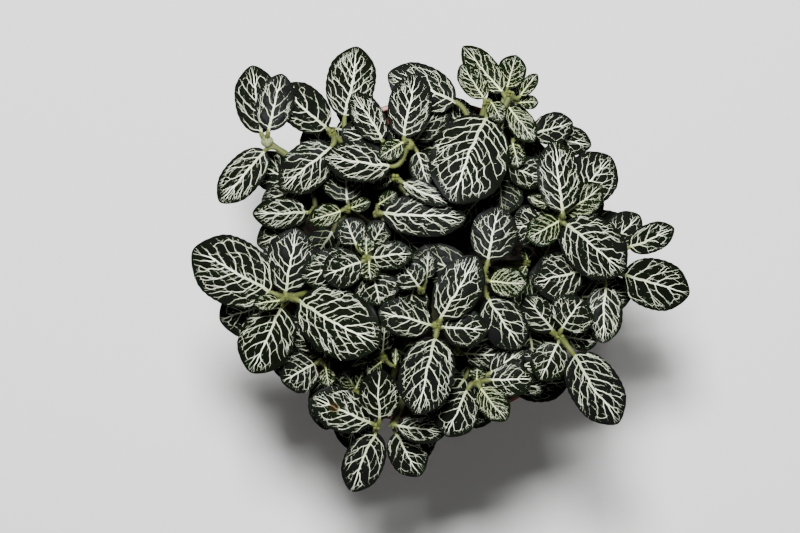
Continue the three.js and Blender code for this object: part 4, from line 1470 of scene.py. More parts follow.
@dataclass
class LeafForm:
    """The fine form of one leaf: its quilted blade and its net of veins."""

    leaf: Leaf
    rng: np.random.Generator

    def __post_init__(self) -> None:
        """Draws the veins and puts them where the blade can find the nearest one."""
        self.veins = VeinNet(self.leaf, self.rng).draw()
        self.shade = float(self.rng.random())
        lines = np.concatenate([vein.line for vein in self.veins])
        self.halves = np.concatenate([vein.widths for vein in self.veins]) / 2
        self.tree = KDTree(len(lines))
        for i, (u, v) in enumerate(lines):
            self.tree.insert((u, v, 0.0), i)
        self.tree.balance()

    def place(self, u: np.ndarray, v: np.ndarray) -> np.ndarray:
        """The points on the blade's upper side at u along and v across.

        Args:
            u: How far along.
            v: How far across.

        Returns:
            The points.
        """
        x, y = self.leaf.at(u, v)
        t = np.clip(u / self.leaf.length, 0, 1)
        half = np.maximum(self.leaf.half * outline(t), LEAST_HALF)
        z = self.leaf.height(x, y) + self.leaf.wave(t, np.clip(v / half, -1, 1))
        return np.stack((x, y, z), axis=-1)

    def from_vein(self, u: np.ndarray, v: np.ndarray) -> np.ndarray:
        """How far each place lies from the edge of the nearest vein."""
        found = (self.tree.find((a, b, 0.0)) for a, b in zip(u.tolist(), v.tolist()))
        return np.array([max(0.0, distance - self.halves[i]) for _, i, distance in found])

    def dryness(self, points: np.ndarray) -> np.ndarray:
        """How dry the blade is at each point: 0 in sound tissue, well over 1 in the dry spot.

        Args:
            points: The points.

        Returns:
            The dryness of each.
        """
        x, y = along_sight(DRY_X, DRY_Y, self.leaf.z)
        away = np.hypot(points[:, 0] - x, points[:, 1] - y)
        return DRY_MOST * np.maximum(0, 1 - away / DRY_RADIUS)

    def add_blade(self, parts: MeshParts) -> None:
        """Adds the closed blade: a quilted upper side and a plain under side.

        The tint holds youth plus dryness, how near a vein is, the leaf's shade and 1 on top.

        Args:
            parts: The mesh that it goes into.
        """
        leaf, first = self.leaf, parts.count
        rows = max(LEAST_ROWS, round(leaf.length / LAMINA_STEP))
        columns = max(LEAST_COLUMNS, 2 * round(leaf.half / LAMINA_STEP) + 1)
        eased = (1 - np.cos(np.linspace(0, math.pi, rows))) / 2
        shares = LAMINA_EVEN * np.linspace(0, 1, rows) + (1 - LAMINA_EVEN) * eased
        t = LAMINA_ENDS[0] + (LAMINA_ENDS[1] - LAMINA_ENDS[0]) * shares
        s = np.linspace(-1, 1, columns)
        notch = 1 + NOTCH_DEPTH * np.sin(2 * math.pi * (leaf.length / NOTCH_PITCH) * t + leaf.number)
        u = np.repeat(t * leaf.length, columns)
        v = ((leaf.half * edge(t) * notch)[:, None] * s[None, :]).ravel()
        away = self.from_vein(u, v)
        top, under = self.place(u, v), self.place(u, v)
        fall = 1 - np.tile(np.abs(s), rows)**PILLOW_FALL
        top[:, 2] += PILLOW * (1 - np.exp(-((away / PILLOW_REACH) ** 2))) * fall
        near = np.exp(-((away / GREEN_REACH) ** 2))
        tints = np.broadcast_arrays(float(leaf.young) + self.dryness(top), near, self.shade, 1.0)
        parts.add(top, grid_faces(rows, columns), np.stack(tints, axis=1))
        picks = np.round(np.linspace(0, columns - 1, UNDER_COLUMNS)).astype(int)
        under = under.reshape(rows, columns, 3)[:, picks].reshape(-1, 3)
        under[:, 2] -= np.tile(LAMINA_THICK * (1 - LAMINA_THINNING * np.abs(s[picks]) ** 4), rows)
        second = parts.count
        parts.add(under, grid_faces(rows, UNDER_COLUMNS)[:, ::-1], (float(leaf.young), 0, self.shade, 0))
        self.close(parts, first + np.arange(len(top)).reshape(rows, columns),
                   second + np.arange(len(under)).reshape(rows, UNDER_COLUMNS))

    @staticmethod
    def close(parts: MeshParts, upper: np.ndarray, under: np.ndarray) -> None:
        """Joins the grids of the upper and the under side's vertices along the blade's edges.

        Args:
            parts: The mesh that both are in.
            upper: The upper side's vertex numbers.
            under: The under side's vertex numbers.
        """
        a, b, c, d = upper[:-1, 0], upper[1:, 0], under[:-1, 0], under[1:, 0]
        parts.faces.append(np.stack((a, c, d, b), axis=1))
        a, b, c, d = upper[:-1, -1], upper[1:, -1], under[:-1, -1], under[1:, -1]
        parts.faces.append(np.stack((a, b, d, c), axis=1))
        for row, step in ((0, 1), (-1, -1)):
            parts.faces.append(np.concatenate((upper[row], under[row, ::-1]))[None, ::step])

    def add_veins(self, parts: MeshParts) -> None:
        """Adds the veins as low ridges on the upper side.

        The tint holds youth plus dryness, the place along the blade, the order or minus the groove,
        and the painted shade for the depth below the crown.

        Args:
            parts: The mesh that they go into.
        """
        flats, rises, faces, tints, count = [], [], [], [], 0
        for vein in self.veins:
            line, section = vein.line, np.array(ROOF if vein.order else GROOVED)
            along = unit(np.gradient(line, axis=0))
            across = np.stack((-along[:, 1], along[:, 0]), axis=1) * (vein.widths / 2)[:, None]
            flats.append((line[:, None] + across[:, None] * section[None, :, :1]).reshape(-1, 2))
            rise = VEIN_SINK + VEIN_RISE * min(1.0, vein.width / STOUT)
            rises.append(np.tile(section[:, 1] * rise - VEIN_SINK, len(line)))
            faces.append(grid_faces(len(line), len(section), count))
            t = np.repeat(np.clip(line[:, 0] / self.leaf.length, 0, 1), len(section))
            order = vein.order - np.tile(section[:, 2], len(line))
            tints.append(np.stack(np.broadcast_arrays(float(self.leaf.young), t, order, 0.0), axis=1))
            count += len(t)
        flat = np.concatenate(flats)
        points = self.place(flat[:, 0], flat[:, 1])
        points[:, 2] += np.concatenate(rises)
        colours = np.concatenate(tints)
        colours[:, 0] += self.dryness(points)
        # The fourth channel is painted shade: darker the deeper the vein lies below the crown
        colours[:, 3] = shade_by_depth(points)
        parts.add(points, np.concatenate(faces), colours)


Value = Any


class Socket:
    """A shader socket that takes part in Python expressions with sockets and plain numbers."""

    def __init__(self, graph: "Graph", link: Any) -> None:
        """Keeps the graph that new nodes go into."""
        self.graph = graph
        self.link = link

    def __add__(self, other: Value) -> "Socket":
        """self + other."""
        return self.graph.math("ADD", self, other)

    def __radd__(self, other: Value) -> "Socket":
        """other + self."""
        return self.graph.math("ADD", other, self)

    def __sub__(self, other: Value) -> "Socket":
        """self - other."""
        return self.graph.math("SUBTRACT", self, other)

    def __rsub__(self, other: Value) -> "Socket":
        """other - self."""
        return self.graph.math("SUBTRACT", other, self)

    def __mul__(self, other: Value) -> "Socket":
        """self * other."""
        return self.graph.math("MULTIPLY", self, other)

    def __rmul__(self, other: Value) -> "Socket":
        """other * self."""
        return self.graph.math("MULTIPLY", other, self)

    def between(self, low: float, high: float) -> "Socket":
        """0 below low, 1 above high and even in between."""
        return self.graph.node("ShaderNodeMapRange", {"clamp": True}, "Result", Value=self,
                               **{"From Min": low, "From Max": high})

    def clamped(self) -> "Socket":
        """Kept within 0 and 1."""
        return self.graph.math("ADD", self, 0.0, clamp=True)

    def falling(self, start: float, fall: float) -> "Socket":
        """start where this is 0, and less by fall where it is 1."""
        return start - self * fall


class Graph:
    """The nodes of one material."""

    def __init__(self, name: str) -> None:
        """Makes the material with a bare principled shader.

        Args:
            name: The material's name.
        """
        self.material = bpy.data.materials.new(name)
        self.material.use_nodes = True
        self.tree = self.material.node_tree
        self.shader = self.tree.nodes["Principled BSDF"]

    def fill(self, socket: Any, value: Value) -> None:
        """Links or sets one input.

        Args:
            socket: The input.
            value: The socket to link or the value to set.
        """
        if isinstance(value, Socket):
            self.tree.links.new(value.link, socket)
        elif isinstance(value, tuple) and len(value) == 3 and socket.type == "RGBA":
            socket.default_value = (*value, 1.0)
        else:
            socket.default_value = value

    def node(self, kind: str, settings: dict[str, Any], output: str | int = 0, **inputs: Value) -> Socket:
        """Adds any node.

        Args:
            kind: the node's type.
            settings: its properties, set before its inputs.
            output: the name or number of the output to give back.
            inputs: values or sockets by input name, or by _ and number.

        Returns:
            The chosen output.
        """
        node = self.tree.nodes.new(kind)
        for key, value in settings.items():
            setattr(node, key, value)
        for key, value in inputs.items():
            self.fill(node.inputs[int(key[1:]) if key.startswith("_") else key], value)
        return Socket(self, node.outputs[output])

    def math(self, operation: str, *values: Value, clamp: bool = False) -> Socket:
        """Adds a Math node on values or sockets."""
        inputs = {f"_{i}": value for i, value in enumerate(values)}
        return self.node("ShaderNodeMath", {"operation": operation, "use_clamp": clamp}, **inputs)

    def mix(self, factor: Value, a: Value, b: Value) -> Socket:
        """Mixes two colours."""
        return self.node("ShaderNodeMix", {"data_type": "RGBA"}, 2, _0=factor, _6=a, _7=b)

    def place(self) -> Socket:
        """The place in the object, in metres."""
        return self.node("ShaderNodeTexCoord", {}, "Object")

    def noise(self, size: float, detail: float = 3.0, rough: float = 0.55) -> Socket:
        """Noise about 0.5, with lumps of about the given size in millimetres."""
        return self.node("ShaderNodeTexNoise", {}, "Fac", Vector=self.place(), Scale=1 / (size * MM),
                         Detail=detail, Roughness=rough)

    def raised(self, least: float, rise: float, *noise: float) -> Socket:
        """A value that noise raises."""
        return least + rise * self.noise(*noise)

    def cells(self, size: float) -> Socket:
        """The distance within cells of about the given size in millimetres."""
        return self.node("ShaderNodeTexVoronoi", {}, "Distance", Vector=self.place(), Scale=1 / (size * MM))

    def tint(self) -> tuple[Socket, Socket, Socket, Socket]:
        """The four channels of the mesh's tint.

        Returns:
            A socket for each channel.
        """
        source = self.node("ShaderNodeAttribute", {"attribute_name": "tint"}, "Color")
        alpha = Socket(self, source.link.node.outputs["Alpha"])
        split = self.node("ShaderNodeSeparateColor", {}, 0, Color=source)
        red, green, blue = (Socket(self, split.link.node.outputs[i]) for i in range(3))
        return red, green, blue, alpha

    def bump(self, height: Value, strength: float, distance: float) -> Socket:
        """A bumped normal; distance is in millimetres."""
        return self.node("ShaderNodeBump", {}, "Normal", Height=height, Strength=strength,
                         Distance=distance * MM)

    def finish(self, **inputs: Value) -> bpy.types.Material:
        """Fills the principled shader's inputs and gives back the material.

        Args:
            inputs: The values or sockets, by the inputs' names.

        Returns:
            The material.
        """
        for key, value in inputs.items():
            self.fill(self.shader.inputs[key.replace("_", " ")], value)
        return self.material


Colour = tuple[float, float, float]
Pair = tuple[float, float]
Numbers = tuple[float, ...]


@dataclass(frozen=True)
class LaminaFinish:
    """The blade between its veins: near-black green, green when young, pale below.

    In each finish a span is the part of a noise that is spread over 0 to 1, and a share is the
    weight of what it is named for. A noise is its size in millimetres, its detail and its roughness.
    gloss is the least roughness, how far noise raises it, and that noise. relief is the bump's
    strength and its depth in millimetres, and shine is the specular level.
    """

    mature: Colour = (0.0021, 0.0029, 0.0017)
    purple: Colour = (0.0040, 0.0036, 0.0042)
    young: Colour = (0.0022, 0.0045, 0.0012)
    by_vein: Colour = (0.0035, 0.0062, 0.0018)
    below: Colour = (0.060, 0.075, 0.045)
    dry: Colour = (0.0085, 0.0050, 0.0019)
    gleam: Colour = (0.85, 0.85, 1.0)
    patches: Numbers = (6.0, 4.0)
    patch_share: float = 1.6
    leaf_share: float = 0.8
    young_share: float = 0.85
    vein_share: float = 0.55
    cell_size: float = 0.32
    cell_share: float = 0.6
    grain: Numbers = (0.9, 4.0)
    grain_share: float = 0.8
    gloss: Numbers = (0.28, 0.15, 1.5)
    shade_gloss: float = 0.05
    relief: Pair = (0.35, 0.12)
    shine: float = 0.013

    def make(self) -> bpy.types.Material:
        """Builds the material.

        Returns:
            The material.
        """
        g = Graph("lamina")
        young, near, shade, top = g.tint()
        patch = g.noise(*self.patches) * self.patch_share - 0.5 + (shade - 0.5) * self.leaf_share
        base = g.mix(patch.clamped(), self.mature, self.purple)
        base = g.mix(young.clamped() * self.young_share, base, self.young)
        base = g.mix(near * self.vein_share, base, self.by_vein)
        base = g.mix((young - 1).clamped(), base, self.dry)
        base = g.mix(top, self.below, base)
        rough = g.raised(*self.gloss) + self.shade_gloss * shade
        skin = g.cells(self.cell_size) * self.cell_share + g.noise(*self.grain) * self.grain_share
        return g.finish(Base_Color=base, Roughness=rough, Normal=g.bump(skin, *self.relief),
                        Specular_IOR_Level=self.shine, Specular_Tint=self.gleam)


@dataclass(frozen=True)
class VeinFinish:
    """The veins: cream, greener towards a leaf's base, lime in young leaves, darkened by painted shade when
    deep.

    The greens and the lime are a share at the base or the midrib, and how far it falls to the other
    end or in the last twigs.
    """

    cream: Colour = (0.86, 0.91, 0.74)
    green: Colour = (0.125, 0.150, 0.045)
    lime: Colour = (0.46, 0.55, 0.19)
    shaded: Colour = (0.50, 0.56, 0.36)
    dry: Colour = (0.040, 0.024, 0.008)
    painted_shade: Colour = (0.110, 0.130, 0.065)
    clouds: Numbers = (2.2, 3.0)
    cloud_span: Pair = (0.45, 0.75)
    cloud_share: float = 0.45
    root_span: Pair = (0.0, 0.85)
    root_green: Pair = (0.9, 0.7)
    groove_green: Pair = (0.75, 0.6)
    base_lime: Pair = (0.72, 0.55)
    midrib_lime: Pair = (1.0, 0.45)
    painted_shade_share: float = 0.8
    dry_share: float = 0.97
    grain: Numbers = (0.5, 4.0)
    gloss: Numbers = (0.42, 0.16, 1.2)
    relief: Pair = (0.3, 0.08)

    def make(self) -> bpy.types.Material:
        """Builds the material.

        Returns:
            The material.
        """
        g = Graph("vein")
        young, along, order, depth = g.tint()
        twig, groove = order.clamped(), (0 - order).clamped()
        cloud = g.noise(*self.clouds).between(*self.cloud_span) * self.cloud_share
        base = g.mix(cloud.clamped(), self.cream, self.shaded)
        rooted = (1 - along.between(*self.root_span)) * twig.falling(*self.root_green)
        base = g.mix(rooted.clamped(), base, self.green)
        base = g.mix((groove * along.falling(*self.groove_green)).clamped(), base, self.green)
        fresh = young * along.falling(*self.base_lime) * twig.falling(*self.midrib_lime)
        base = g.mix(fresh.clamped(), base, self.lime)
        # Painted shade: veins darken the deeper they lie below the crown
        base = g.mix(depth * self.painted_shade_share, base, self.painted_shade)
        base = g.mix((young - 1).clamped() * self.dry_share, base, self.dry)
        return g.finish(Base_Color=base, Roughness=g.raised(*self.gloss),
                        Normal=g.bump(g.noise(*self.grain), *self.relief))


@dataclass(frozen=True)
class StemFinish:
    """Stems, stalks and buds: olive green, lime at the buds, browner low down, finely hairy, darkened by
    painted shade when deep.
    """

    olive: Colour = (0.017, 0.020, 0.005)
    lime: Colour = (0.095, 0.114, 0.026)
    pale: Colour = (0.150, 0.165, 0.100)
    brown: Colour = (0.040, 0.027, 0.014)
    painted_shade: Colour = (0.012, 0.013, 0.004)
    browning: Numbers = (0.6, 0.6, 3.0)
    painted_shade_share: float = 0.8
    cell_size: float = 0.4
    cell_share: float = 0.5
    grain: Numbers = (0.35, 3.0)
    gloss: Numbers = (0.5, 0.2, 1.5)
    relief: Pair = (0.5, 0.15)
    shine: float = 0.2

    def make(self) -> bpy.types.Material:
        """Builds the material.

        Returns:
            The material.
        """
        g = Graph("stem")
        fresh, old, pale, depth = g.tint()
        base = g.mix(fresh, self.olive, self.lime)
        base = g.mix((old * g.raised(*self.browning)).clamped(), base, self.brown)
        base = g.mix(pale, base, self.pale)
        # Painted shade: stems, stalks and buds darken the deeper they lie below the crown
        base = g.mix(depth * self.painted_shade_share, base, self.painted_shade)
        skin = g.cells(self.cell_size) * self.cell_share + g.noise(*self.grain)
        return g.finish(Base_Color=base, Roughness=g.raised(*self.gloss),
                        Normal=g.bump(skin, *self.relief),
                        Specular_IOR_Level=self.shine)


@dataclass(frozen=True)
class PotFinish:
    """Reddish-brown moulded plastic with a little dust and fine scuffs."""

    plastic: Colour = (0.115, 0.034, 0.020)
    worn: Colour = (0.150, 0.052, 0.034)
    dust: Colour = (0.260, 0.170, 0.130)
    clouds: Numbers = (18.0, 5.0)
    worn_span: Pair = (0.4, 0.7)
    worn_share: float = 0.6
    specks: Numbers = (1.2, 5.0, 0.7)
    speck_span: Pair = (0.58, 0.7)
    dust_span: Pair = (0.45, 0.7)
    dust_share: float = 0.35
    gloss: Numbers = (0.42, 0.14, 7.0, 4.0)
    speck_gloss: float = 0.12
    grain: Numbers = (0.6, 4.0)
    grain_share: float = 0.5
    waves: Numbers = (4.0, 2.0)
    relief: Pair = (0.25, 0.12)

    def make(self) -> bpy.types.Material:
        """Builds the material.

        Returns:
            The material.
        """
        g = Graph("pot_plastic")
        cloudy = g.noise(*self.clouds)
        base = g.mix(cloudy.between(*self.worn_span) * self.worn_share, self.plastic, self.worn)
        specks = g.noise(*self.specks).between(*self.speck_span)
        base = g.mix(specks * cloudy.between(*self.dust_span) * self.dust_share, base, self.dust)
        rough = g.raised(*self.gloss) + self.speck_gloss * specks
        skin = g.noise(*self.grain) * self.grain_share + g.noise(*self.waves)
        return g.finish(Base_Color=base, Roughness=rough, Normal=g.bump(skin, *self.relief))


@dataclass(frozen=True)
class SoilFinish:
    """Moist potting mix: dark crumbs with paler fibres."""

    dark: Colour = (0.0025, 0.0019, 0.0014)
    brown: Colour = (0.011, 0.0075, 0.005)
    fibre: Colour = (0.038, 0.025, 0.016)
    crumb_size: float = 2.2
    crumb_span: Pair = (0.1, 0.7)
    crumb_share: float = 0.8
    fibres: Numbers = (0.9, 5.0, 0.75)
    fibre_span: Pair = (0.6, 0.72)
    fibre_share: float = 0.7
    grain: Numbers = (0.7, 5.0)
    gloss: Numbers = (0.72, 0.25, 1.6)
    relief: Pair = (0.9, 0.7)
    shine: float = 0.1

    def make(self) -> bpy.types.Material:
        """Builds the material.

        Returns:
            The material.
        """
        g = Graph("potting_mix")
        crumbs = g.cells(self.crumb_size)
        base = g.mix(crumbs.between(*self.crumb_span), self.brown, self.dark)
        fibrous = g.noise(*self.fibres).between(*self.fibre_span) * self.fibre_share
        base = g.mix(fibrous, base, self.fibre)
        skin = (1 - crumbs) * self.crumb_share + g.noise(*self.grain)
        return g.finish(Base_Color=base, Roughness=g.raised(*self.gloss),
                        Normal=g.bump(skin, *self.relief), Specular_IOR_Level=self.shine)


@dataclass(frozen=True)
class FloorFinish:
    """A plain pale studio floor."""

    paper: Colour = (0.42, 0.43, 0.42)
    rough: float = 0.9

    def make(self) -> bpy.types.Material:
        """Builds the material."""
        return Graph("studio_floor").finish(Base_Color=self.paper, Roughness=self.rough)


def dress(piece: bpy.types.Object, material: bpy.types.Material, slot: str, *nodes: str) -> None:
    """Gives a piece its material and its place in the frame.

    Args:
        piece: the object.
        material: its finish.
        slot: not used.
        nodes: the CAD nodes that it stands for.
    """
    piece.data.materials.append(material)
    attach(piece, "root")
    if nodes:
        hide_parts(*nodes)
    LOG.info("%s: %d faces", piece.name, len(piece.data.polygons))


@dataclass(frozen=True)
class Globe:
    """A round bud as seen from above: its place at the crown's height, its radius and how pale it is."""

    x: float
    y: float
    radius: float
    pale: float


GLOBES = (Globe(-8.0, 40.4, 2.0, 0.0), Globe(-56.7, 41.5, 2.2, 0.8))
GLOBE_REACH = 4.0
GLOBE_RISE = 1.2
GLOBE_FOLDS = 0.09
GLOBE_ROWS = 17
GLOBE_SIDES = 28

# Tints of a stem's pieces: how fresh, old and pale they are
SCALE_TINT = (0.9, 0.0, 0.0)
HAIR_TINT = (0.6, 0.0, 0.7)
GLOBE_HAIR_TINT = (0.8, 0.0, 0.6)
GLOBE_FRESH = (0.8, 0.2)
GLOBE_PALE = (0.75, 0.25)
STALK_FRESH = (0.15, 0.6)
OLD_BELOW = 120.0
OLD_RANGE = 26.0
FRESH_BELOW_TOP = 8.0
FRESH_RANGE = 10.0
FRESH_MOST = 0.35

# Their form: stem radii as shares, stalks from root to tip, and the scales of a bud
STEM_LEAST = 0.8
STEM_SWELL = 0.24
STEM_TAPER = 0.1
SWELL_PLACE = 0.5
SWELL_WIDTH = 1.6
STALK_POINTS = 8
STALK_RUN_ON = 1.6
STALK_SINK = 0.1
STALK_BEND = 0.4
STALK_ENDS = (1.3, 0.95)
STALK_TIP = 0.5
SCALE_POINTS = 9
SCALE_SIDES = 8
SCALE_RADIUS = 0.9
SCALE_START = 0.12
SCALE_RUN = 0.86
SCALE_ROUNDNESS = 0.8
SCALE_BOW = 0.8
SCALE_LEANS = (0.75, -0.75)
SCALE_PAIRS = ((0.0, 1.42), (math.pi / 2, 1.25))
BUD_SUNK = 0.5
BUD_TURN = 1.3

# Where the numbers of stems, stalks and round buds start in the random draws
STEM_DRAWS = 1000
STALK_DRAWS = 2000
GLOBE_DRAWS = 3000


@dataclass
class Foliage:
    """All the leafy shoots: for each one its blades, its veins and its stem with stalks."""

    plant: Plant
    seed: int = 7
    stem_sides: int = 8
    stalk_sides: int = 7
    stalk_radius: float = 0.85
    stalk_growth: float = 0.3
    stalk_depth: float = 0.45
    stem_hairs: int = 160
    stalk_hairs: int = 60
    globe_hairs: int = 260
    node_spacing: float = 11.0

    def build(self) -> None:
        """Builds and dresses every shoot."""
        lamina, vein, stem = LaminaFinish().make(), VeinFinish().make(), StemFinish().make()
        for shoot in self.plant.shoots:
            node = f"shoot_{shoot.number + 1:02d}"
            blades, veins = MeshParts(f"{node}_blades"), MeshParts(f"{node}_veins")
            for leaf in shoot.leaves:
                form = LeafForm(leaf, self.random(leaf.number))
                form.add_blade(blades)
                form.add_veins(veins)
            dress(blades.build(), lamina, "foliage", node)
            dress(veins.build(), vein, "foliage")
            dress(self.stem_mesh(shoot, f"{node}_stem").build(), stem, "foliage")

    def random(self, number: int) -> np.random.Generator:
        """The random numbers of one leaf, stem, stalk or bud."""
        return np.random.default_rng((self.seed, number))

    @staticmethod
    def add(parts: MeshParts, mesh: tuple[np.ndarray, np.ndarray], fresh: Any, old: Any = 0.0,
            pale: Any = 0.0) -> None:
        """Adds a mesh, tinted by how fresh, old and pale it is, with painted shade for how deep it lies."""
        tints = np.broadcast_arrays(fresh, old, pale, shade_by_depth(mesh[0]))
        parts.add(*mesh, np.stack(tints, axis=1))

    def stem_mesh(self, shoot: Shoot, name: str) -> MeshParts:
        """The stem with its swellings, the leaf stalks and the bud of one shoot.

        Args:
            shoot: The shoot.
            name: The piece's name.

        Returns:
            The parts of the mesh.
        """
        parts = MeshParts(name)
        line = shoot.stem
        run = running(np.linalg.norm(np.diff(line, axis=0), axis=1))
        from_top = run[-1] - run
        swell = np.exp(-(((from_top % self.node_spacing) - SWELL_PLACE) ** 2) / SWELL_WIDTH)
        radii = STEM_RADIUS * (STEM_LEAST + STEM_SWELL * swell + STEM_TAPER * from_top / run[-1])
        points, faces = tube(line, radii, self.stem_sides)
        age = np.clip((OLD_BELOW - points[:, 2]) / OLD_RANGE, 0, 1)
        fresh = np.clip((points[:, 2] - (shoot.z - FRESH_BELOW_TOP)) / FRESH_RANGE, 0, FRESH_MOST)
        self.add(parts, (points, faces), fresh, age)
        half = len(line) // 2
        rings = points.reshape(-1, self.stem_sides, 3)[1:-1]
        rng = self.random(STEM_DRAWS + shoot.number)
        self.add_hairs(parts, line[half:], rings[half:], self.stem_hairs, rng)
        for leaf in shoot.leaves:
            self.add_stalk(parts, shoot, leaf)
        if not shoot.low:
            self.add_bud(parts, shoot)
        return parts

    def add_stalk(self, parts: MeshParts, shoot: Shoot, leaf: Leaf) -> None:
        """Adds a leaf's stalk, which runs out of the stem and on under the midrib.

        Args:
            parts: The mesh that it goes into.
            shoot: The shoot that it grows on.
            leaf: The leaf that it carries.
        """
        root = shoot.stem_at(min(shoot.z, leaf.z - ROOT_DROP)) + np.array((0, 0, STALK_THICK / 4))
        base = np.array((leaf.x, leaf.y, leaf.z - self.stalk_depth))
        way = np.array((leaf.ax, leaf.ay, leaf.slope))
        under = base + STALK_RUN_ON * way - np.array((0, 0, STALK_SINK))
        bend = base - STALK_BEND * np.linalg.norm(base - root) * way
        q = np.linspace(0, 1, STALK_POINTS)[:, None]
        line = np.vstack(((1 - q) ** 2 * root + 2 * q * (1 - q) * bend + q**2 * base, under))
        size = self.stalk_radius * (leaf.length / REFERENCE_LENGTH) ** self.stalk_growth
        radii = size * np.linspace(*STALK_ENDS, len(line))
        radii[-1] *= STALK_TIP
        points, faces = tube(line, radii, self.stalk_sides)
        fresh = np.repeat(np.linspace(*STALK_FRESH, len(points) // self.stalk_sides), self.stalk_sides)
        self.add(parts, (points, faces), fresh)
        rings = points.reshape(-1, self.stalk_sides, 3)[1:-1]
        rng = self.random(STALK_DRAWS + leaf.number)
        self.add_hairs(parts, line[:-2], rings[:-2], self.stalk_hairs, rng)

    def add_bud(self, parts: MeshParts, shoot: Shoot) -> None:
        """Adds the bud in the top node: two pairs of folded scales, and in two shoots a round one.

        Args:
            parts: The mesh that it goes into.
            shoot: The shoot that it grows on.
        """
        rise = np.linspace(0, 1, SCALE_POINTS)
        radii = SCALE_RADIUS * np.sin(math.pi * (SCALE_START + SCALE_RUN * rise)) ** SCALE_ROUNDNESS
        foot = np.array((shoot.x, shoot.y, shoot.z - BUD_HEIGHT * BUD_SUNK))
        for turn, height in SCALE_PAIRS:
            angle = turn + BUD_TURN * shoot.number
            way = np.array((math.cos(angle), math.sin(angle), 0.0))
            for lean in SCALE_LEANS:
                line = foot + np.outer(rise, (0, 0, BUD_HEIGHT * height))
                line += np.outer(np.sin(rise * math.pi * SCALE_BOW), lean * way)
                self.add(parts, tube(line, radii, SCALE_SIDES), *SCALE_TINT)
        for globe in GLOBES:
            x, y = along_sight(globe.x, globe.y, shoot.z)
            if math.hypot(shoot.x - x, shoot.y - y) < GLOBE_REACH:
                self.add_globe(parts, np.array((x, y, shoot.z + GLOBE_RISE)), globe)

    def add_globe(self, parts: MeshParts, middle: np.ndarray, globe: Globe) -> None:
        """Adds a round bud of crumpled young leaves, with hairs, about its middle.

        Args:
            parts: The mesh that it goes into.
            middle: The bud's middle.
            globe: The bud's sizes.
        """
        rise = np.linspace(0, math.pi, GLOBE_ROWS)
        points, faces = turned(np.stack((np.sin(rise), -np.cos(rise)), axis=1), GLOBE_SIDES)
        turn, z = np.arctan2(points[:, 1], points[:, 0]), points[:, 2]
        folds = np.sin(5 * turn + 3 * z) * np.sin(4 * z + turn)
        shape = middle + points * (globe.radius * (1 + GLOBE_FOLDS * folds * (1 - z**2)))[:, None]
        fresh = GLOBE_FRESH[0] + GLOBE_FRESH[1] * folds
        self.add(parts, (shape, faces), fresh, 0.0, globe.pale * (GLOBE_PALE[0] + GLOBE_PALE[1] * folds))
        rng = self.random(GLOBE_DRAWS + parts.count)
        picks = rng.integers(0, len(points), self.globe_hairs)
        self.add(parts, hairs(shape[picks], points[picks], rng), *GLOBE_HAIR_TINT)

    def add_hairs(self, parts: MeshParts, line: np.ndarray, rings: np.ndarray, count: int,
                  rng: np.random.Generator) -> None:
        """Adds hairs on a tube.

        Args:
            parts: what the hairs are added to.
            line: the tube's middle line.
            rings: its vertices about each point of the line.
            count: how many hairs.
            rng: for their places.
        """
        low = rng.integers(0, len(line) - 1, count)
        side = rng.integers(0, rings.shape[1], count)
        share = rng.random(count)[:, None]
        roots = rings[low, side] * (1 - share) + rings[low + 1, side] * share
        middle = line[low] * (1 - share) + line[low + 1] * share
        self.add(parts, hairs(roots, unit(roots - middle), rng), *HAIR_TINT)


def cut(body: bpy.types.Object, tool: bpy.types.Object) -> None:
    """Takes the tool's shape out of the body and removes the tool.

    Args:
        body: The object that is cut.
        tool: The object whose shape is taken out.
    """
    change = body.modifiers.new("cut", "BOOLEAN")
    change.operation = "DIFFERENCE"
    change.solver = "EXACT"
    change.object = tool
    graph = bpy.context.evaluated_depsgraph_get()
    made = bpy.data.meshes.new_from_object(body.evaluated_get(graph))
    body.modifiers.clear()
    body.data = made
    bpy.data.objects.remove(tool)


@dataclass
class Pot:
    """The nursery pot: a tapered wall with a stepped band below the rim and holes in its floor."""

    sides: int = 128
    hole_sides: int = 24
    sharp_angle: float = 30.0
    bevel: float = 0.3

    def profile(self) -> list[tuple[float, float]]:
        """The wall's outline, from the middle of the base out, up and back down inside.

        Returns:
            The radius and height of each point.
        """
        band_foot = POT_HEIGHT - BAND_HEIGHT
        band_radius = POT_RIM_RADIUS - BAND_DRAFT
        wall_top = band_radius - BAND_STEP
        return [
            (0, 0), (POT_BASE_RADIUS - EDGE, 0), (POT_BASE_RADIUS - 0.3 * EDGE, 0.25 * EDGE),
            (POT_BASE_RADIUS, EDGE), (wall_top, band_foot), (band_radius - self.bevel, band_foot),
            (band_radius, band_foot + self.bevel), (POT_RIM_RADIUS, POT_HEIGHT - EDGE),
            (POT_RIM_RADIUS - 0.12 * EDGE, POT_HEIGHT - 0.3 * EDGE), (POT_RIM_RADIUS - EDGE / 2, POT_HEIGHT),
            (POT_RIM_RADIUS - POT_WALL + self.bevel, POT_HEIGHT),
            (POT_RIM_RADIUS - POT_WALL, POT_HEIGHT - self.bevel),
            (band_radius - POT_WALL, band_foot + POT_WALL), (wall_top - POT_WALL, band_foot - EDGE),
            (POT_BASE_RADIUS - POT_WALL, POT_FLOOR), (0, POT_FLOOR),
        ]

    def build(self) -> None:
        """Builds and dresses the pot."""
        parts = MeshParts("nursery_pot")
        parts.add(*turned(self.profile(), self.sides))
        pot = parts.build(self.sharp_angle)
        holes = MeshParts("drain_holes")
        low, high = -POT_FLOOR, 2 * POT_FLOOR
        for i in range(DRAIN_COUNT):
            angle = 2 * math.pi * i / DRAIN_COUNT
            column = [(0, low), (DRAIN_RADIUS, low), (DRAIN_RADIUS, high), (0, high)]
            points, faces = turned(column, self.hole_sides)
            holes.add(points + DRAIN_CIRCLE * np.array((math.cos(angle), math.sin(angle), 0.0)), faces)
        cut(pot, holes.build())
        dress(pot, PotFinish().make(), "pot", "pot")


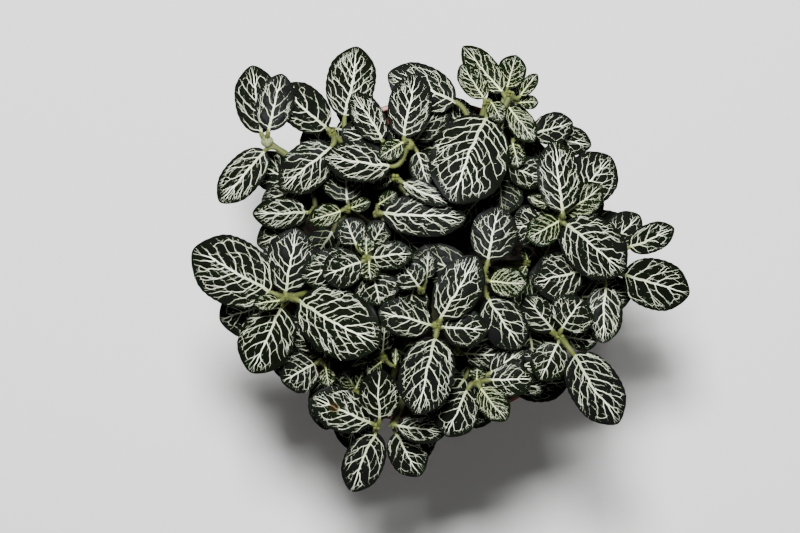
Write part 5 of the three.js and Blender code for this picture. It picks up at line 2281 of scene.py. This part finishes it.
OCTAHEDRON = ((1, 0, 0), (0, 1, 0), (-1, 0, 0), (0, -1, 0), (0, 0, 1), (0, 0, -1))
OCTAHEDRON_FACES = ((0, 1, 4), (1, 2, 4), (2, 3, 4), (3, 0, 4), (1, 0, 5), (2, 1, 5), (3, 2, 5), (0, 3, 5))


@dataclass
class Soil:
    """The potting mix: a block that fills the pot, with a crumbly top."""

    seed: int = 11
    sides: int = 120
    rings: int = 34
    crumbs: int = 900
    crumb_sizes: Pair = (0.5, 1.5)
    crumb_disorder: float = 0.22
    crumb_sunk: float = 0.3
    crumb_margin: float = 2.0
    lumps: float = 0.28
    lump_least: float = 0.15
    lump_margin: float = 3.0
    top_start: float = 0.985
    top_sunk: float = 0.4
    sharp_angle: float = 35.0

    def build(self) -> None:
        """Builds and dresses the soil."""
        rng = np.random.default_rng(self.seed)
        parts = MeshParts("potting_mix")
        wall_top = POT_RIM_RADIUS - BAND_DRAFT - BAND_STEP - POT_WALL
        wall_foot = POT_BASE_RADIUS - POT_WALL
        taper = (wall_top - wall_foot) / (POT_HEIGHT - BAND_HEIGHT - EDGE - POT_FLOOR)
        bottom, brink = POT_FLOOR + GAP, SOIL_EDGE_HEIGHT - SOIL_BEVEL
        foot, reach = (wall_foot + taper * (height - POT_FLOOR) - WALL_GAP for height in (bottom, brink))
        profile = [(0, bottom), (foot, bottom), (reach, brink)]
        for share in np.linspace(self.top_start, 0, self.rings):
            profile.append((reach * share, float(soil_height(reach * share)) - self.top_sunk))
        points, faces = turned(profile, self.sides)
        top = points[:, 2] > brink + self.top_sunk / 2
        inside = (reach - np.hypot(points[top, 0], points[top, 1])) / self.lump_margin
        points[top, 2] += rng.normal(0, self.lumps, int(top.sum())) * np.clip(inside, self.lump_least, 1)
        parts.add(points, faces)
        for _ in range(self.crumbs):
            r = (reach - self.crumb_margin) * math.sqrt(rng.random())
            angle = rng.random() * 2 * math.pi
            size = rng.uniform(*self.crumb_sizes)
            corners = rng.normal(0, 1, (6, 3)) * self.crumb_disorder + np.array(OCTAHEDRON)
            middle = (r * math.cos(angle), r * math.sin(angle), float(soil_height(r)) - self.crumb_sunk)
            parts.add(corners * size + middle, np.array(OCTAHEDRON_FACES))
        dress(parts.build(self.sharp_angle), SoilFinish().make(), "soil", "soil")


@dataclass
class Studio:
    """The floor, the soft lights and the camera, in metres and watts."""

    floor_size: float = 3.0
    world: float = 0.12
    aim: Vector = field(default_factory=lambda: Vector((0.0, 0.0, 0.12)))

    def build(self) -> None:
        """Builds all of it."""
        self.floor()
        self.light("key", (-0.06, 0.36, 1.12), size=0.22, watts=61.0)
        self.light("fill", (0.9, -0.7, 0.9), size=0.9, watts=4.0)
        self.surround()
        self.camera()

    def floor(self) -> None:
        """The plain floor that the pot stands on."""
        half = self.floor_size / 2 / MM
        parts = MeshParts("studio_floor")
        parts.add(np.array(((-half, -half, 0), (half, -half, 0), (half, half, 0), (-half, half, 0))),
                  np.array([(0, 1, 2, 3)]))
        floor = parts.build()
        floor.data.materials.append(FloorFinish().make())

    def light(self, name: str, place: tuple[float, float, float], size: float, watts: float) -> None:
        """A soft square light that shines on the middle of the crown.

        Args:
            name: The light's name.
            place: Where it hangs.
            size: The length of its side.
            watts: Its power.
        """
        data = bpy.data.lights.new(name, "AREA")
        data.size = size
        data.energy = watts
        lamp = bpy.data.objects.new(name, data)
        lamp.location = place
        lamp.rotation_euler = (self.aim - Vector(place)).to_track_quat("-Z", "Y").to_euler()
        bpy.context.scene.collection.objects.link(lamp)

    def surround(self) -> None:
        """An even pale surround."""
        world = bpy.data.worlds.new("surround")
        world.use_nodes = True
        background = world.node_tree.nodes["Background"]
        background.inputs["Color"].default_value = (1.0, 1.0, 1.0, 1.0)
        background.inputs["Strength"].default_value = self.world
        bpy.context.scene.world = world

    def camera(self) -> None:
        """The camera straight above, as in the photograph."""
        data = bpy.data.cameras.new("camera")
        data.lens = LENS
        data.sensor_width = SENSOR
        camera = bpy.data.objects.new("camera", data)
        camera.location = (EYE_X * MM, EYE_Y * MM, EYE_Z * MM)
        bpy.context.scene.collection.objects.link(camera)
        bpy.context.scene.camera = camera


def corners(bounds: Sequence[Vector]) -> list[list[float]]:
    """The lowest and the highest corner as plain lists."""
    return [[round(float(value), 6) for value in corner] for corner in bounds]


def main() -> None:
    """Grows the plant, then builds and dresses its pieces, and reports them."""
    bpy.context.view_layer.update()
    plant = Plant()
    plant.grow()
    LOG.info("grown: %d shoots, %d leaves", len(plant.shoots), len(plant.leaves))
    Pot().build()
    Soil().build()
    Foliage(plant).build()
    Studio().build()


if __name__ == "__main__":
    logging.basicConfig(level=logging.INFO, format="%(message)s")
    main()
